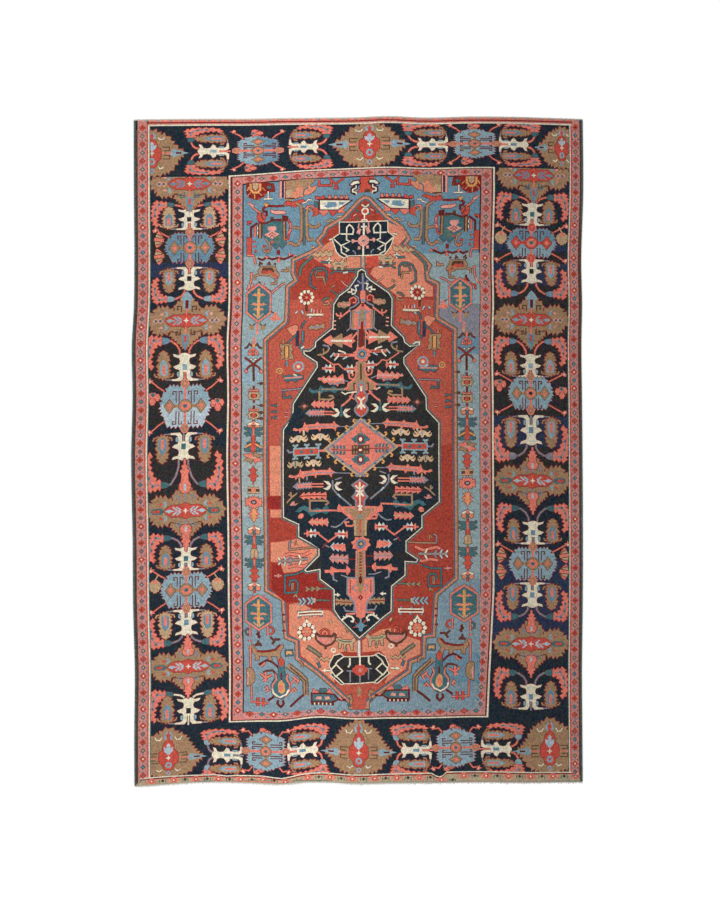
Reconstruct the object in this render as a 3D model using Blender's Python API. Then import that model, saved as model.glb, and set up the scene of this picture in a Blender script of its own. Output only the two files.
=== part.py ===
"""A hand-knotted Persian village carpet, lying flat.

The carpet itself, pile and foundation, is one woven slab. Wool is wound over its two outer
warps as a side cord, and at each end the warps are woven into a narrow web whose worn, loose
ends are the fringe.

Metres. X runs across the carpet, Y along it and Z up. The origin is on the floor, under the
middle of the carpet's footprint.
"""

import math
import random
from collections import namedtuple

import bmesh
import bpy
from mathutils import Vector

# The whole carpet, measured over its side cords and over its two webs.
WIDTH = 2.398
LENGTH = 3.552

CARPET_THICKNESS = 0.009
PILE_ROUNDING = 0.0025

CORD_WIDTH = 0.012
CORD_HEIGHT = 0.0085
CORD_ROUNDING = 0.0032

WEB_WIDTH = 0.006
WEB_THICKNESS = 0.003

# Neighbouring pieces lie this far apart.
GAP = 0.0003

# The outline has a point at most this often, so that neighbours curve alike.
SIDE_STEP = 0.032
END_STEP = 0.016

STRANDS_PER_END = 148
STRAND_TIP_SHARE = 0.55
STRAND_LEAN = 0.0035
LOWER_STRANDS = (0.003, 0.011)
UPPER_STRANDS = (0.0015, 0.005)
FRINGE_SEED = 11

# How far the sides stand outside their straight lines, by share of the length from the lower end.
SideRow = namedtuple("SideRow", "along left right")
SIDE_WANDER = (
    SideRow(0.00, -0.0060, 0.0020),
    SideRow(0.08, -0.0050, 0.0000),
    SideRow(0.17, -0.0080, -0.0020),
    SideRow(0.27, 0.0010, 0.0020),
    SideRow(0.37, 0.0040, 0.0030),
    SideRow(0.49, 0.0115, 0.0010),
    SideRow(0.58, 0.0045, -0.0020),
    SideRow(0.66, 0.0080, -0.0050),
    SideRow(0.72, -0.0030, -0.0015),
    SideRow(0.79, -0.0055, -0.0060),
    SideRow(0.89, -0.0030, 0.0045),
    SideRow(1.00, -0.0020, 0.0020),
)

# The same for the ends, by share of the width from the left side.
EndRow = namedtuple("EndRow", "across lower upper")
END_WANDER = (
    EndRow(0.00, 0.0170, -0.0080),
    EndRow(0.05, 0.0100, -0.0060),
    EndRow(0.16, -0.0060, -0.0040),
    EndRow(0.26, -0.0010, -0.0035),
    EndRow(0.33, 0.0060, 0.0000),
    EndRow(0.41, -0.0120, 0.0020),
    EndRow(0.49, 0.0030, 0.0040),
    EndRow(0.57, 0.0000, 0.0110),
    EndRow(0.65, -0.0010, 0.0030),
    EndRow(0.76, -0.0060, 0.0085),
    EndRow(0.87, -0.0030, 0.0050),
    EndRow(0.96, -0.0060, -0.0020),
    EndRow(1.00, -0.0060, -0.0050),
)

# Colours as linear red, green and blue.
WOOL_RED = (0.30, 0.055, 0.040)
CORD_GREEN = (0.030, 0.060, 0.062)
WARP_CREAM = (0.62, 0.55, 0.44)
CLOTH_ROUGHNESS = 0.9


def read_off(rows, column, share):
    """A column of a wander table at any share, on a smooth curve through its rows."""
    values = [getattr(row, column) for row in rows]
    after = next((i for i, row in enumerate(rows) if row[0] >= share), len(rows) - 1)
    after = max(after, 1)
    before = after - 1
    span = rows[after][0] - rows[before][0]
    t = min(max((share - rows[before][0]) / span, 0.0), 1.0)

    def slope(i):
        low, high = max(i - 1, 0), min(i + 1, len(rows) - 1)
        return (values[high] - values[low]) / (rows[high][0] - rows[low][0])

    return (
        values[before] * (1 + 2 * t) * (1 - t) ** 2
        + values[after] * t**2 * (3 - 2 * t)
        + span * t * (1 - t) * (slope(before) * (1 - t) - slope(after) * t)
    )


def follow_the_weave(x, y):
    """Where a point of the straight, square carpet lies on the real, uneven one."""
    across = x / WIDTH + 0.5
    along = y / LENGTH + 0.5
    left = -read_off(SIDE_WANDER, "left", along)
    right = read_off(SIDE_WANDER, "right", along)
    lower = -read_off(END_WANDER, "lower", across)
    upper = read_off(END_WANDER, "upper", across)
    return (
        x + left * (1 - across) + right * across,
        y + lower * (1 - along) + upper * along,
    )


def cloth_material(name, colour):
    material = bpy.data.materials.new(name)
    material.use_nodes = True
    shader = material.node_tree.nodes["Principled BSDF"]
    shader.inputs["Base Color"].default_value = (*colour, 1.0)
    shader.inputs["Roughness"].default_value = CLOTH_ROUGHNESS
    shader.inputs["Metallic"].default_value = 0.0
    return material


def finish_piece(name, bm, material):
    """Bends a piece that was made straight to the carpet's uneven outline, and keeps it as an object."""
    for vert in bm.verts:
        vert.co.x, vert.co.y = follow_the_weave(vert.co.x, vert.co.y)
    bmesh.ops.recalc_face_normals(bm, faces=bm.faces)
    mesh = bpy.data.meshes.new(name)
    bm.to_mesh(mesh)
    bm.free()
    mesh.materials.append(material)
    piece = bpy.data.objects.new(name, mesh)
    bpy.context.scene.collection.objects.link(piece)
    return piece


def raise_from_floor(bm, height):
    """Turns flat faces on the floor into a slab of that height."""
    raised = bmesh.ops.extrude_face_region(bm, geom=bm.faces[:])
    top = [item for item in raised["geom"] if isinstance(item, bmesh.types.BMVert)]
    bmesh.ops.translate(bm, verts=top, vec=Vector((0, 0, height)))


def points_between(start, end, step):
    """Points a step or less apart from start up to, but not including, end."""
    count = math.ceil((end - start).length / step)
    return [start.lerp(end, i / count) for i in range(count)]


def knotted_carpet(material):
    """The woven slab between the side cords and the webs, with the pile's top edge rounded."""
    half_x = WIDTH / 2 - CORD_WIDTH - GAP
    half_y = LENGTH / 2 - WEB_WIDTH - GAP
    corners = [
        Vector((-half_x, -half_y, 0)),
        Vector((half_x, -half_y, 0)),
        Vector((half_x, half_y, 0)),
        Vector((-half_x, half_y, 0)),
    ]
    bm = bmesh.new()
    outline = []
    for corner, following, step in zip(
        corners, corners[1:] + corners[:1], 2 * [END_STEP, SIDE_STEP]
    ):
        outline += map(bm.verts.new, points_between(corner, following, step))
    bm.faces.new(outline)
    raise_from_floor(bm, CARPET_THICKNESS)
    rim = [
        edge
        for edge in bm.edges
        if all(vert.co.z > CARPET_THICKNESS / 2 for vert in edge.verts)
    ]
    bmesh.ops.bevel(
        bm,
        geom=rim,
        offset=PILE_ROUNDING,
        segments=2,
        profile=0.5,
        affect="EDGES",
        material=-1,
    )
    return finish_piece("carpet", bm, material)


def side_cord(name, side, material):
    """The wool-wound cord along one side: side is -1 on the left and 1 on the right."""
    length = LENGTH - 2 * (WEB_WIDTH + GAP)
    bm = bmesh.new()
    bmesh.ops.create_cube(bm, size=1)
    bmesh.ops.scale(bm, verts=bm.verts, vec=Vector((CORD_WIDTH, length, CORD_HEIGHT)))
    bmesh.ops.translate(
        bm,
        verts=bm.verts,
        vec=Vector((side * (WIDTH - CORD_WIDTH) / 2, 0, CORD_HEIGHT / 2)),
    )
    long_edges = [
        edge
        for edge in bm.edges
        if abs(edge.verts[0].co.y - edge.verts[1].co.y) > length / 2
    ]
    bmesh.ops.bevel(
        bm,
        geom=long_edges,
        offset=CORD_ROUNDING,
        segments=2,
        profile=0.5,
        affect="EDGES",
        material=-1,
    )
    lower_end, upper_end = Vector((0, -length / 2, 0)), Vector((0, length / 2, 0))
    for point in points_between(lower_end, upper_end, SIDE_STEP)[1:]:
        bmesh.ops.bisect_plane(
            bm,
            geom=bm.verts[:] + bm.edges[:] + bm.faces[:],
            plane_co=point,
            plane_no=Vector((0, 1, 0)),
        )
    return finish_piece(name, bm, material)


def fringed_web(name, end, strand_lengths, material):
    """The woven web across one end with its loose warps: end is -1 at the lower end and 1 at the upper."""
    chance = random.Random(FRINGE_SEED + end)
    bm = bmesh.new()
    bmesh.ops.create_grid(
        bm, x_segments=2 * STRANDS_PER_END + 1, y_segments=1, size=0.5
    )
    bmesh.ops.scale(bm, verts=bm.verts, vec=Vector((WIDTH, WEB_WIDTH, 1)))
    bmesh.ops.translate(
        bm, verts=bm.verts, vec=Vector((0, end * (LENGTH - WEB_WIDTH) / 2, 0))
    )
    free_edges = [
        edge
        for edge in bm.edges
        if all(end * vert.co.y > LENGTH / 2 - WEB_WIDTH / 4 for vert in edge.verts)
    ]
    free_edges.sort(key=lambda edge: min(vert.co.x for vert in edge.verts))
    for root in free_edges[1::2]:
        middle = (root.verts[0].co + root.verts[1].co) / 2
        grown = bmesh.ops.extrude_edge_only(bm, edges=[root])
        tip = [item for item in grown["geom"] if isinstance(item, bmesh.types.BMVert)]
        reach = chance.uniform(*strand_lengths)
        lean = chance.uniform(-STRAND_LEAN, STRAND_LEAN)
        for vert in tip:
            vert.co.x = middle.x + (vert.co.x - middle.x) * STRAND_TIP_SHARE + lean
            vert.co.y += end * reach
    raise_from_floor(bm, WEB_THICKNESS)
    return finish_piece(name, bm, material)


def settle_on_origin(pieces):
    """Moves all pieces together, so that the middle of their footprint is over the origin."""
    points = [vert.co for piece in pieces for vert in piece.data.vertices]
    middle_x = (min(p.x for p in points) + max(p.x for p in points)) / 2
    middle_y = (min(p.y for p in points) + max(p.y for p in points)) / 2
    for point in points:
        point.x -= middle_x
        point.y -= middle_y


def main():
    for left_over in list(bpy.data.objects):
        bpy.data.objects.remove(left_over)
    pile_wool = cloth_material("pile_wool", WOOL_RED)
    cord_wool = cloth_material("cord_wool", CORD_GREEN)
    warp_yarn = cloth_material("warp_yarn", WARP_CREAM)
    settle_on_origin(
        [
            knotted_carpet(pile_wool),
            side_cord("side_cord_left", -1, cord_wool),
            side_cord("side_cord_right", 1, cord_wool),
            fringed_web("fringed_web_lower", -1, LOWER_STRANDS, warp_yarn),
            fringed_web("fringed_web_upper", 1, UPPER_STRANDS, warp_yarn),
        ]
    )


main()
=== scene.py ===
"""Looks of a hand-knotted Persian village carpet that lies flat on a pale floor.

The pattern is drawn as a weaver draws it: on a cartoon, a sheet ruled in knots. Each area of one
wool is a patch of the cartoon, and a patch drawn later covers what is under it. The finished
cartoon becomes the top of the pile, one mesh with the wool's colour on each face.

Lengths are metres in the model and knots on the cartoon.
"""

from __future__ import annotations

import logging
import math
import random
from collections.abc import Iterable, Sequence
from dataclasses import dataclass, field, replace
from enum import Enum, auto
from typing import NamedTuple

import bmesh
import bpy
import numpy as np
from mathutils import Matrix, Vector, geometry
from mathutils.bvhtree import BVHTree


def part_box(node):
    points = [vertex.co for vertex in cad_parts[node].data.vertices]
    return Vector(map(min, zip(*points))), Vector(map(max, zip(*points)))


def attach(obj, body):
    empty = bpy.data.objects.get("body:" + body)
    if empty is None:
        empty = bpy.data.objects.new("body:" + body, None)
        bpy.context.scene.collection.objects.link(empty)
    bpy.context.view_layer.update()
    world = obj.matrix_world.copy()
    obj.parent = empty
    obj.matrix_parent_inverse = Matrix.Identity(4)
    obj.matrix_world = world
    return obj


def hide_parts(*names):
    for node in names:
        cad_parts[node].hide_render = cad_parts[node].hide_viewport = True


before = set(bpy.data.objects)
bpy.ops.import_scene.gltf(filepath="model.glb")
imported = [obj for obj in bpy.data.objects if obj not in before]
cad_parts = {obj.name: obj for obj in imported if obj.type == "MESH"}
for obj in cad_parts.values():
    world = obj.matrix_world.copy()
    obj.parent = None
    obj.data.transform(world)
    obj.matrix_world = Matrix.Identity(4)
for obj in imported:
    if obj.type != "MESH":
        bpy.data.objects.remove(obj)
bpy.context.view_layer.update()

log = logging.getLogger("persian_rug")

Point = tuple[float, float]
Path = Sequence[Point]


# ---------------------------------------------------------------- sizes


@dataclass(frozen=True)
class RugSize:
    """The carpet's sizes in metres, and how its cartoon lies on it.

    Attributes:
        width: over the side cords.
        length: over the end webs.
        thickness: of foundation and pile together.
        cord_width: of one side cord.
        cord_height: of one side cord.
        web_width: of the woven strip across each end.
        web_thickness: of that strip.
        gap: between neighbouring pieces.
        rounding: of the pile's upper edge.
        knot: the cartoon's unit, one knot.
        middle: where on the cartoon, from its upper left corner, the carpet's middle is.
    """

    width: float = 2.398
    length: float = 3.552
    thickness: float = 0.009
    cord_width: float = 0.012
    cord_height: float = 0.0085
    web_width: float = 0.006
    web_thickness: float = 0.003
    gap: float = 0.0003
    rounding: float = 0.0025
    knot: float = 0.005337
    middle: Point = (357.8, 450.8)

    @property
    def pile_half(self) -> Point:
        """Half of the pile's width and length.

        Returns:
            Both halves, in metres.
        """
        return (
            self.width / 2 - self.cord_width - self.gap,
            self.length / 2 - self.web_width - self.gap,
        )


SIZE = RugSize()


class SideRow(NamedTuple):
    """How far the sides stand outside their straight lines, at a share of the length from below."""

    along: float
    left: float
    right: float


class EndRow(NamedTuple):
    """How far the ends stand outside their straight lines, at a share of the width from the left."""

    across: float
    lower: float
    upper: float


SIDE_WANDER = (
    SideRow(0.00, -0.0060, 0.0020),
    SideRow(0.08, -0.0050, 0.0000),
    SideRow(0.17, -0.0080, -0.0020),
    SideRow(0.27, 0.0010, 0.0020),
    SideRow(0.37, 0.0040, 0.0030),
    SideRow(0.49, 0.0115, 0.0010),
    SideRow(0.58, 0.0045, -0.0020),
    SideRow(0.66, 0.0080, -0.0050),
    SideRow(0.72, -0.0030, -0.0015),
    SideRow(0.79, -0.0055, -0.0060),
    SideRow(0.89, -0.0030, 0.0045),
    SideRow(1.00, -0.0020, 0.0020),
)
END_WANDER = (
    EndRow(0.00, 0.0170, -0.0080),
    EndRow(0.05, 0.0100, -0.0060),
    EndRow(0.16, -0.0060, -0.0040),
    EndRow(0.26, -0.0010, -0.0035),
    EndRow(0.33, 0.0060, 0.0000),
    EndRow(0.41, -0.0120, 0.0020),
    EndRow(0.49, 0.0030, 0.0040),
    EndRow(0.57, 0.0000, 0.0110),
    EndRow(0.65, -0.0010, 0.0030),
    EndRow(0.76, -0.0060, 0.0085),
    EndRow(0.87, -0.0030, 0.0050),
    EndRow(0.96, -0.0060, -0.0020),
    EndRow(1.00, -0.0060, -0.0050),
)


# ---------------------------------------------------------------- wools


class Dye(Enum):
    """The wools, as the red, green and blue of 0 to 255 that they have in daylight."""

    NAVY = (36, 46, 56)
    NIGHT = (50, 48, 48)
    INDIGO = (48, 58, 84)
    BRICK = (170, 68, 54)
    DEEP_BRICK = (152, 48, 42)
    CLAY = (188, 90, 73)
    DEEP_RED = (140, 44, 40)
    RED = (204, 84, 70)
    SALMON = (222, 140, 112)
    CORAL = (232, 130, 112)
    ROSE = (212, 138, 128)
    PINK = (230, 160, 146)
    MAROON = (104, 42, 40)
    BROWN = (96, 66, 52)
    CAMEL = (170, 134, 102)
    SAND = (196, 164, 128)
    SAGE = (186, 172, 142)
    CREAM = (224, 188, 150)
    GOLD = (226, 162, 100)
    IVORY = (236, 226, 200)
    MID_BLUE = (112, 146, 164)
    LIGHT_BLUE = (146, 172, 182)
    PALE_BLUE = (184, 200, 206)
    MIST = (150, 169, 172)
    HAZE = (164, 176, 174)
    SLATE = (132, 155, 166)
    TEAL = (72, 112, 118)
    GREEN = (92, 116, 104)
    GREY = (140, 138, 148)

    @property
    def linear(self) -> tuple[float, float, float, float]:
        """The colour as the shaders want it, linear and with an alpha of 1.

        Returns:
            Red, green, blue and alpha.
        """
        shares = (byte / 255 for byte in self.value)
        return (
            *(s / 12.92 if s < 0.04045 else ((s + 0.055) / 1.055) ** 2.4 for s in shares),
            1.0,
        )


# The dyes by their own names.
(
    NAVY, NIGHT, INDIGO, BRICK, DEEP_BRICK, CLAY, DEEP_RED, RED, SALMON, CORAL, ROSE, PINK, MAROON,
    BROWN, CAMEL, SAND, SAGE, CREAM, GOLD, IVORY, MID_BLUE, LIGHT_BLUE, PALE_BLUE, MIST, HAZE, SLATE,
    TEAL, GREEN, GREY,
) = Dye


# ---------------------------------------------------------------- cartoon


def mirrored(right_half: Path) -> list[Point]:
    """Closes a right half, drawn from top to bottom, with its mirror image on the left."""
    return [*right_half, *((-x, y) for x, y in reversed(right_half) if abs(x) > 1e-6)]


def quartered(quarter: Path) -> list[Point]:
    """Closes a quarter, drawn from the top round to the right, with its three mirror images."""
    lower = [(x, -y) for x, y in reversed(quarter) if abs(y) > 1e-6]
    return mirrored([*quarter, *lower])


def toothed(points: Path, pitch: float = 3.0, depth: float = 1.5, lean: float = 0.5) -> list[Point]:
    """Cuts a closed shape's outline into the small teeth of a knotted leaf.

    Args:
        points: the shape, drawn with its inside on the right hand.
        pitch: from tooth to tooth, at most.
        depth: of a tooth, outwards.
        lean: where on its pitch the tooth's tip stands, from 0 to 1.

    Returns:
        The shape's new points.
    """
    edge = []
    for (x0, y0), (x1, y1) in zip(points, [*points[1:], points[0]]):
        length = math.hypot(x1 - x0, y1 - y0)
        count = max(int(length / pitch), 1)
        nx, ny = (y1 - y0) / max(length, 1e-6), -(x1 - x0) / max(length, 1e-6)
        for tooth in range(count):
            root, tip = tooth / count, (tooth + lean) / count
            edge.append((x0 + (x1 - x0) * root, y0 + (y1 - y0) * root))
            if length > 0.8 * pitch:
                edge.append((x0 + (x1 - x0) * tip + nx * depth, y0 + (y1 - y0) * tip + ny * depth))
    return edge


def signed_area(points: Path) -> float:
    """The area of a closed shape, positive where it runs clockwise with y downwards.

    Args:
        points: its corners.

    Returns:
        The area, in square knots.
    """
    return sum(
        x0 * y1 - x1 * y0 for (x0, y0), (x1, y1) in zip(points, [*points[1:], points[0]])
    ) / 2


# How much a sharp corner's two normals are scaled at most. On a straight line it is 0.5.
MITRE = 1.6


def side_offsets(points: Path, reach: float, closed: bool) -> list[Point]:
    """Moves each point sideways, square to the line through it.

    Args:
        points: the line.
        reach: how far, to the left of the way the line runs with y downwards.
        closed: whether the last point joins the first.

    Returns:
        The moved points.
    """
    count = len(points)
    moved = []
    for i, (x, y) in enumerate(points):
        before = points[i - 1] if closed or i else (2 * x - points[1][0], 2 * y - points[1][1])
        after = points[(i + 1) % count]
        if not closed and i == count - 1:
            after = (2 * x - before[0], 2 * y - before[1])
        ax, ay = x - before[0], y - before[1]
        bx, by = after[0] - x, after[1] - y
        al, bl = math.hypot(ax, ay) or 1.0, math.hypot(bx, by) or 1.0
        nx, ny = ay / al + by / bl, -ax / al - bx / bl
        square = nx * nx + ny * ny
        scale = reach * min(2 / square if square > 1e-9 else 1.0, MITRE)
        moved.append((x + nx * scale, y + ny * scale))
    return moved


def crosses_itself(points: Path) -> bool:
    """Whether two sides of a closed shape cross.

    Args:
        points: its corners.

    Returns:
        True if two sides cross.
    """
    start = np.array(points)
    end = np.roll(start, -1, axis=0)
    way = (end - start)[:, None]
    to_start, to_end = start[None] - start[:, None], end[None] - start[:, None]
    side = (way[..., 0] * to_start[..., 1] - way[..., 1] * to_start[..., 0]) * (
        way[..., 0] * to_end[..., 1] - way[..., 1] * to_end[..., 0]
    )
    return bool(((side < -1e-9) & (side.T < -1e-9)).any())


@dataclass
class Cartoon:
    """The sheet ruled in knots. Patches are kept in the order in which they are drawn."""

    shapes: list[list[Point]] = field(default_factory=list)
    dyes: list[Dye] = field(default_factory=list)

    # Points nearer than this are one, and a shape of less than this isn't laid, in knots.
    NEAR = 0.05
    LEAST = 1e-3

    def lay(self, points: Path, dye: Dye) -> bool:
        """Adds one patch, in knots from the sheet's upper left corner.

        Args:
            points: the patch's outline.
            dye: its wool.

        Returns:
            Whether it was laid. A shape that crosses itself isn't.
        """
        shape = []
        for point in points:
            if not shape or math.dist(point, shape[-1]) > self.NEAR:
                shape.append(point)
        if len(shape) > 1 and math.dist(shape[0], shape[-1]) < self.NEAR:
            shape.pop()
        if len(shape) < 3:
            return True
        area = signed_area(shape)
        if crosses_itself(shape):
            return False
        if abs(area) > self.LEAST:
            self.shapes.append(shape if area > 0 else shape[::-1])
            self.dyes.append(dye)
        return True

    def lay_strip(self, one: Path, other: Path, dye: Dye) -> None:
        """Fills the strip between two lines of as many points.

        Args:
            one: one line.
            other: the other line.
            dye: its wool.
        """
        if self.lay([*one, *reversed(other)], dye):
            return
        for a, b, c, d in zip(one, one[1:], other[1:], other):
            self.lay((a, b, c), dye)
            self.lay((a, c, d), dye)


@dataclass(frozen=True)
class Stencil:
    """A motif's own ruled paper and where it lies on the cartoon.

    Attributes:
        cartoon: the sheet that it is laid on.
        x: of its origin on the sheet.
        y: of its origin on the sheet, downwards.
        right: what one knot to the right on the stencil is on the sheet.
        down: what one knot down on the stencil is on the sheet.
        halo: a wool that stands for all others, half a knot round each shape, or None.
    """

    cartoon: Cartoon
    x: float = 0.0
    y: float = 0.0
    right: Point = (1.0, 0.0)
    down: Point = (0.0, 1.0)
    halo: Dye | None = None

    # How wide the halo and a line's outline are, in knots.
    HALO = 0.6
    OUTLINE = 0.7

    def spot(self, point: Point) -> Point:
        """Where a point of the stencil is on the sheet.

        Args:
            point: the point.

        Returns:
            Its place on the sheet.
        """
        u, v = point
        return (
            self.x + self.right[0] * u + self.down[0] * v,
            self.y + self.right[1] * u + self.down[1] * v,
        )

    def at(
        self, x: float = 0, y: float = 0, across: float = 1, along: float = 1, turn: float = 0
    ) -> Stencil:
        """Lays a smaller stencil on this one.

        Args:
            x: its origin's place, to the right.
            y: its origin's place, downwards.
            across: its scale sideways, negative for a mirror image.
            along: its scale downwards.
            turn: clockwise, in degrees.

        Returns:
            The new stencil.
        """
        cos, sin = math.cos(math.radians(turn)), math.sin(math.radians(turn))
        ox, oy = self.spot((x, y))
        rx, ry = self.spot((x + across * cos, y + across * sin))
        dx, dy = self.spot((x - along * sin, y + along * cos))
        return replace(self, x=ox, y=oy, right=(rx - ox, ry - oy), down=(dx - ox, dy - oy))

    def twice(self, halo: Dye) -> tuple[Stencil, Stencil]:
        """A stencil on which a motif leaves only its outline, and the stencil to draw it on then."""
        return replace(self, halo=halo), self

    def sides(self) -> tuple[Stencil, Stencil]:
        """The stencil itself and its mirror image."""
        return self, self.at(across=-1)

    def quarters(self) -> tuple[Stencil, ...]:
        """The stencil and its mirror images to the left, downwards and both."""
        return (*self.sides(), *self.at(along=-1).sides())

    def fill(self, points: Path, dye: Dye) -> None:
        """Fills a closed shape with one wool.

        Args:
            points: its corners.
            dye: its wool.
        """
        shape = [self.spot(p) for p in points]
        if self.halo:
            shape = side_offsets(shape, math.copysign(self.HALO, signed_area(shape)), closed=True)
        self.cartoon.lay(shape, self.halo or dye)

    def edged(self, points: Path, dye: Dye, edge: Dye, width: float = 0.8) -> None:
        """Fills a closed shape and draws its outline round it.

        Args:
            points: the shape.
            dye: the wool inside.
            edge: the outline's wool.
            width: of the outline, in knots of the sheet.
        """
        shape = [self.spot(p) for p in points]
        if signed_area(shape) < 0:
            shape.reverse()
        outer = side_offsets(shape, width, closed=True)
        if not self.cartoon.lay(outer, edge):
            self.cartoon.lay_strip([*shape, shape[0]], [*outer, outer[0]], edge)
        self.cartoon.lay(shape, dye)

    def line(self, points: Path, width: float, dye: Dye, edge: Dye | None = None) -> None:
        """Draws an open line.

        Args:
            points: the line.
            width: in knots of the sheet.
            dye: its wool.
            edge: the wool of an outline along it, if it has one.
        """
        path = [self.spot(p) for p in points]
        if self.halo:
            width, dye, edge = width + 2 * self.HALO, self.halo, None
        for reach, wool in ((width / 2 + self.OUTLINE, edge), (width / 2, dye)):
            if wool is not None:
                left = side_offsets(path, -reach, closed=False)
                right = side_offsets(path, reach, closed=False)
                self.cartoon.lay_strip(left, right, wool)

    def diamond(self, x: float, y: float, a: float, b: float, dye: Dye) -> None:
        """Fills a diamond of half width a and half height b."""
        self.fill([(x, y - b), (x + a, y), (x, y + b), (x - a, y)], dye)

    def box(self, x: float, y: float, a: float, b: float, dye: Dye) -> None:
        """Fills a rectangle of half width a and half height b."""
        self.fill([(x - a, y - b), (x + a, y - b), (x + a, y + b), (x - a, y + b)], dye)

    def ring(self, x: float, y: float, a: float, b: float, sides: int) -> list[Point]:
        """The corners of a round shape of half width a and half height b."""
        turns = (2 * math.pi * (k + 0.5) / sides for k in range(sides))
        return [(x + a * math.sin(t), y - b * math.cos(t)) for t in turns]

    def disc(self, x: float, y: float, a: float, b: float, sides: int, dye: Dye) -> None:
        """Fills a round shape of half width a and half height b."""
        self.fill(self.ring(x, y, a, b, sides), dye)

    def block(self, x0: float, y0: float, x1: float, y1: float, dye: Dye) -> None:
        """Fills a rectangle from its upper left to its lower right corner."""
        self.fill([(x0, y0), (x1, y0), (x1, y1), (x0, y1)], dye)

    def mirror(self, axis: float, lift: float = 0) -> Stencil:
        """The stencil's mirror image, whose origin is at axis and lies higher by lift."""
        return self.at(axis, -lift, across=-1)


class Figure(NamedTuple):
    """A small figure of the pattern, counted in half knots from its own upper left corner.

    Attributes:
        x: where its corner stands, in knots.
        y: where its corner stands, in knots.
        strokes: each a dye, a line's width in knots or 0 to fill, and then its paths, as x, y, x, y.
    """

    x: float
    y: float
    strokes: tuple[tuple, ...]

    def draw(self, paper: Stencil) -> None:
        """Draws the figure.

        Args:
            paper: the stencil to draw on.
        """
        for dye, width, *paths in self.strokes:
            for path in paths:
                points = [(self.x + u / 2, self.y + v / 2) for u, v in zip(path[::2], path[1::2])]
                if width:
                    paper.line(points, width, dye)
                else:
                    paper.fill(points, dye)


def draw_figures(figures: Sequence[Figure], paper: Stencil) -> None:
    """Draws figures in their order."""
    for figure in figures:
        figure.draw(paper)


# ---------------------------------------------------------------- guard stripes


class StripeRow(NamedTuple):
    """One straight stretch of a guard stripe, from its first diamond to its last.

    Attributes:
        start: the first diamond's middle.
        end: the last diamond's middle.
        count: how many diamonds.
        half: half of the stripe's width.
    """

    start: Point
    end: Point
    count: int
    half: float


@dataclass(frozen=True)
class GuardStripe:
    """A narrow pink stripe with diamonds of two wools in turn and small blue dots between them.

    Attributes:
        rows: its straight stretches.
        seed: of the diamonds' and dots' wools.
    """

    rows: tuple[StripeRow, ...]
    seed: int

    # Half a diamond's width and how far out the dots are, as shares of the stripe's half width.
    WIDE, OUT = 0.56, 0.72

    # Half a diamond's height, as a share of the step from one to the next.
    HIGH = 0.31

    def draw_row(self, paper: Stencil, row: StripeRow, chance: random.Random) -> None:
        """Draws one stretch, each diamond with a heart of its own.

        Args:
            paper: the stencil to draw on.
            row: the stretch.
            chance: picks the wools.
        """
        (x0, y0), (x1, y1) = row.start, row.end
        turn = math.degrees(math.atan2(y1 - y0, x1 - x0)) - 90
        step = math.hypot(x1 - x0, y1 - y0) / (row.count - 1)
        half, high = self.WIDE * row.half, self.HIGH * step
        for k in range(row.count):
            t = k / (row.count - 1)
            knot = paper.at(x0 + (x1 - x0) * t, y0 + (y1 - y0) * t, turn=turn)
            if k % 2:
                wool, heart = TEAL, chance.choice((PINK, GOLD, RED, MID_BLUE))
            else:
                wool, heart = RED, chance.choice((BROWN, MAROON, IVORY, TEAL))
            knot.diamond(0, 0, half + 0.9, high + 0.9, ROSE if k % 2 else DEEP_RED)
            knot.diamond(0, 0, half + 0.2, high + 0.2, wool)
            knot.diamond(0, 0, 1.1, 1.1, heart)
            for side in (-1, 1):
                dot = chance.choice((MID_BLUE, GREY, TEAL))
                knot.diamond(side * self.OUT * row.half, step / 2, 0.9, 1.3, dot)
            knot.diamond(0, step / 2, 1.1, 0.8, GREY)

    def draw(self, paper: Stencil) -> None:
        """Draws every stretch.

        Args:
            paper: the stencil to draw on.
        """
        chance = random.Random(self.seed)
        for row in self.rows:
            self.draw_row(paper, row, chance)


OUTER_GUARD = GuardStripe(
    rows=(
        StripeRow((141.9, 126.5), (141.9, 773.0), 79, 4.5),
        StripeRow((574.8, 126.5), (574.8, 773.0), 80, 3.9),
    ),
    seed=3,
)
INNER_GUARD = GuardStripe(
    rows=(
        StripeRow((237.0, 183.0), (237.0, 711.0), 65, 4.8),
        StripeRow((485.7, 177.0), (485.7, 587.8), 51, 4.6),
        StripeRow((485.5, 596.0), (480.4, 705.0), 14, 4.6),
        StripeRow((249.0, 178.6), (356.0, 173.8), 10, 2.9),
        StripeRow((368.0, 173.6), (476.0, 173.3), 10, 3.0),
        StripeRow((249.0, 714.0), (356.0, 712.6), 10, 3.9),
        StripeRow((368.0, 712.6), (476.0, 711.8), 10, 3.9),
    ),
    seed=5,
)


# ---------------------------------------------------------------- main border


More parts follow.
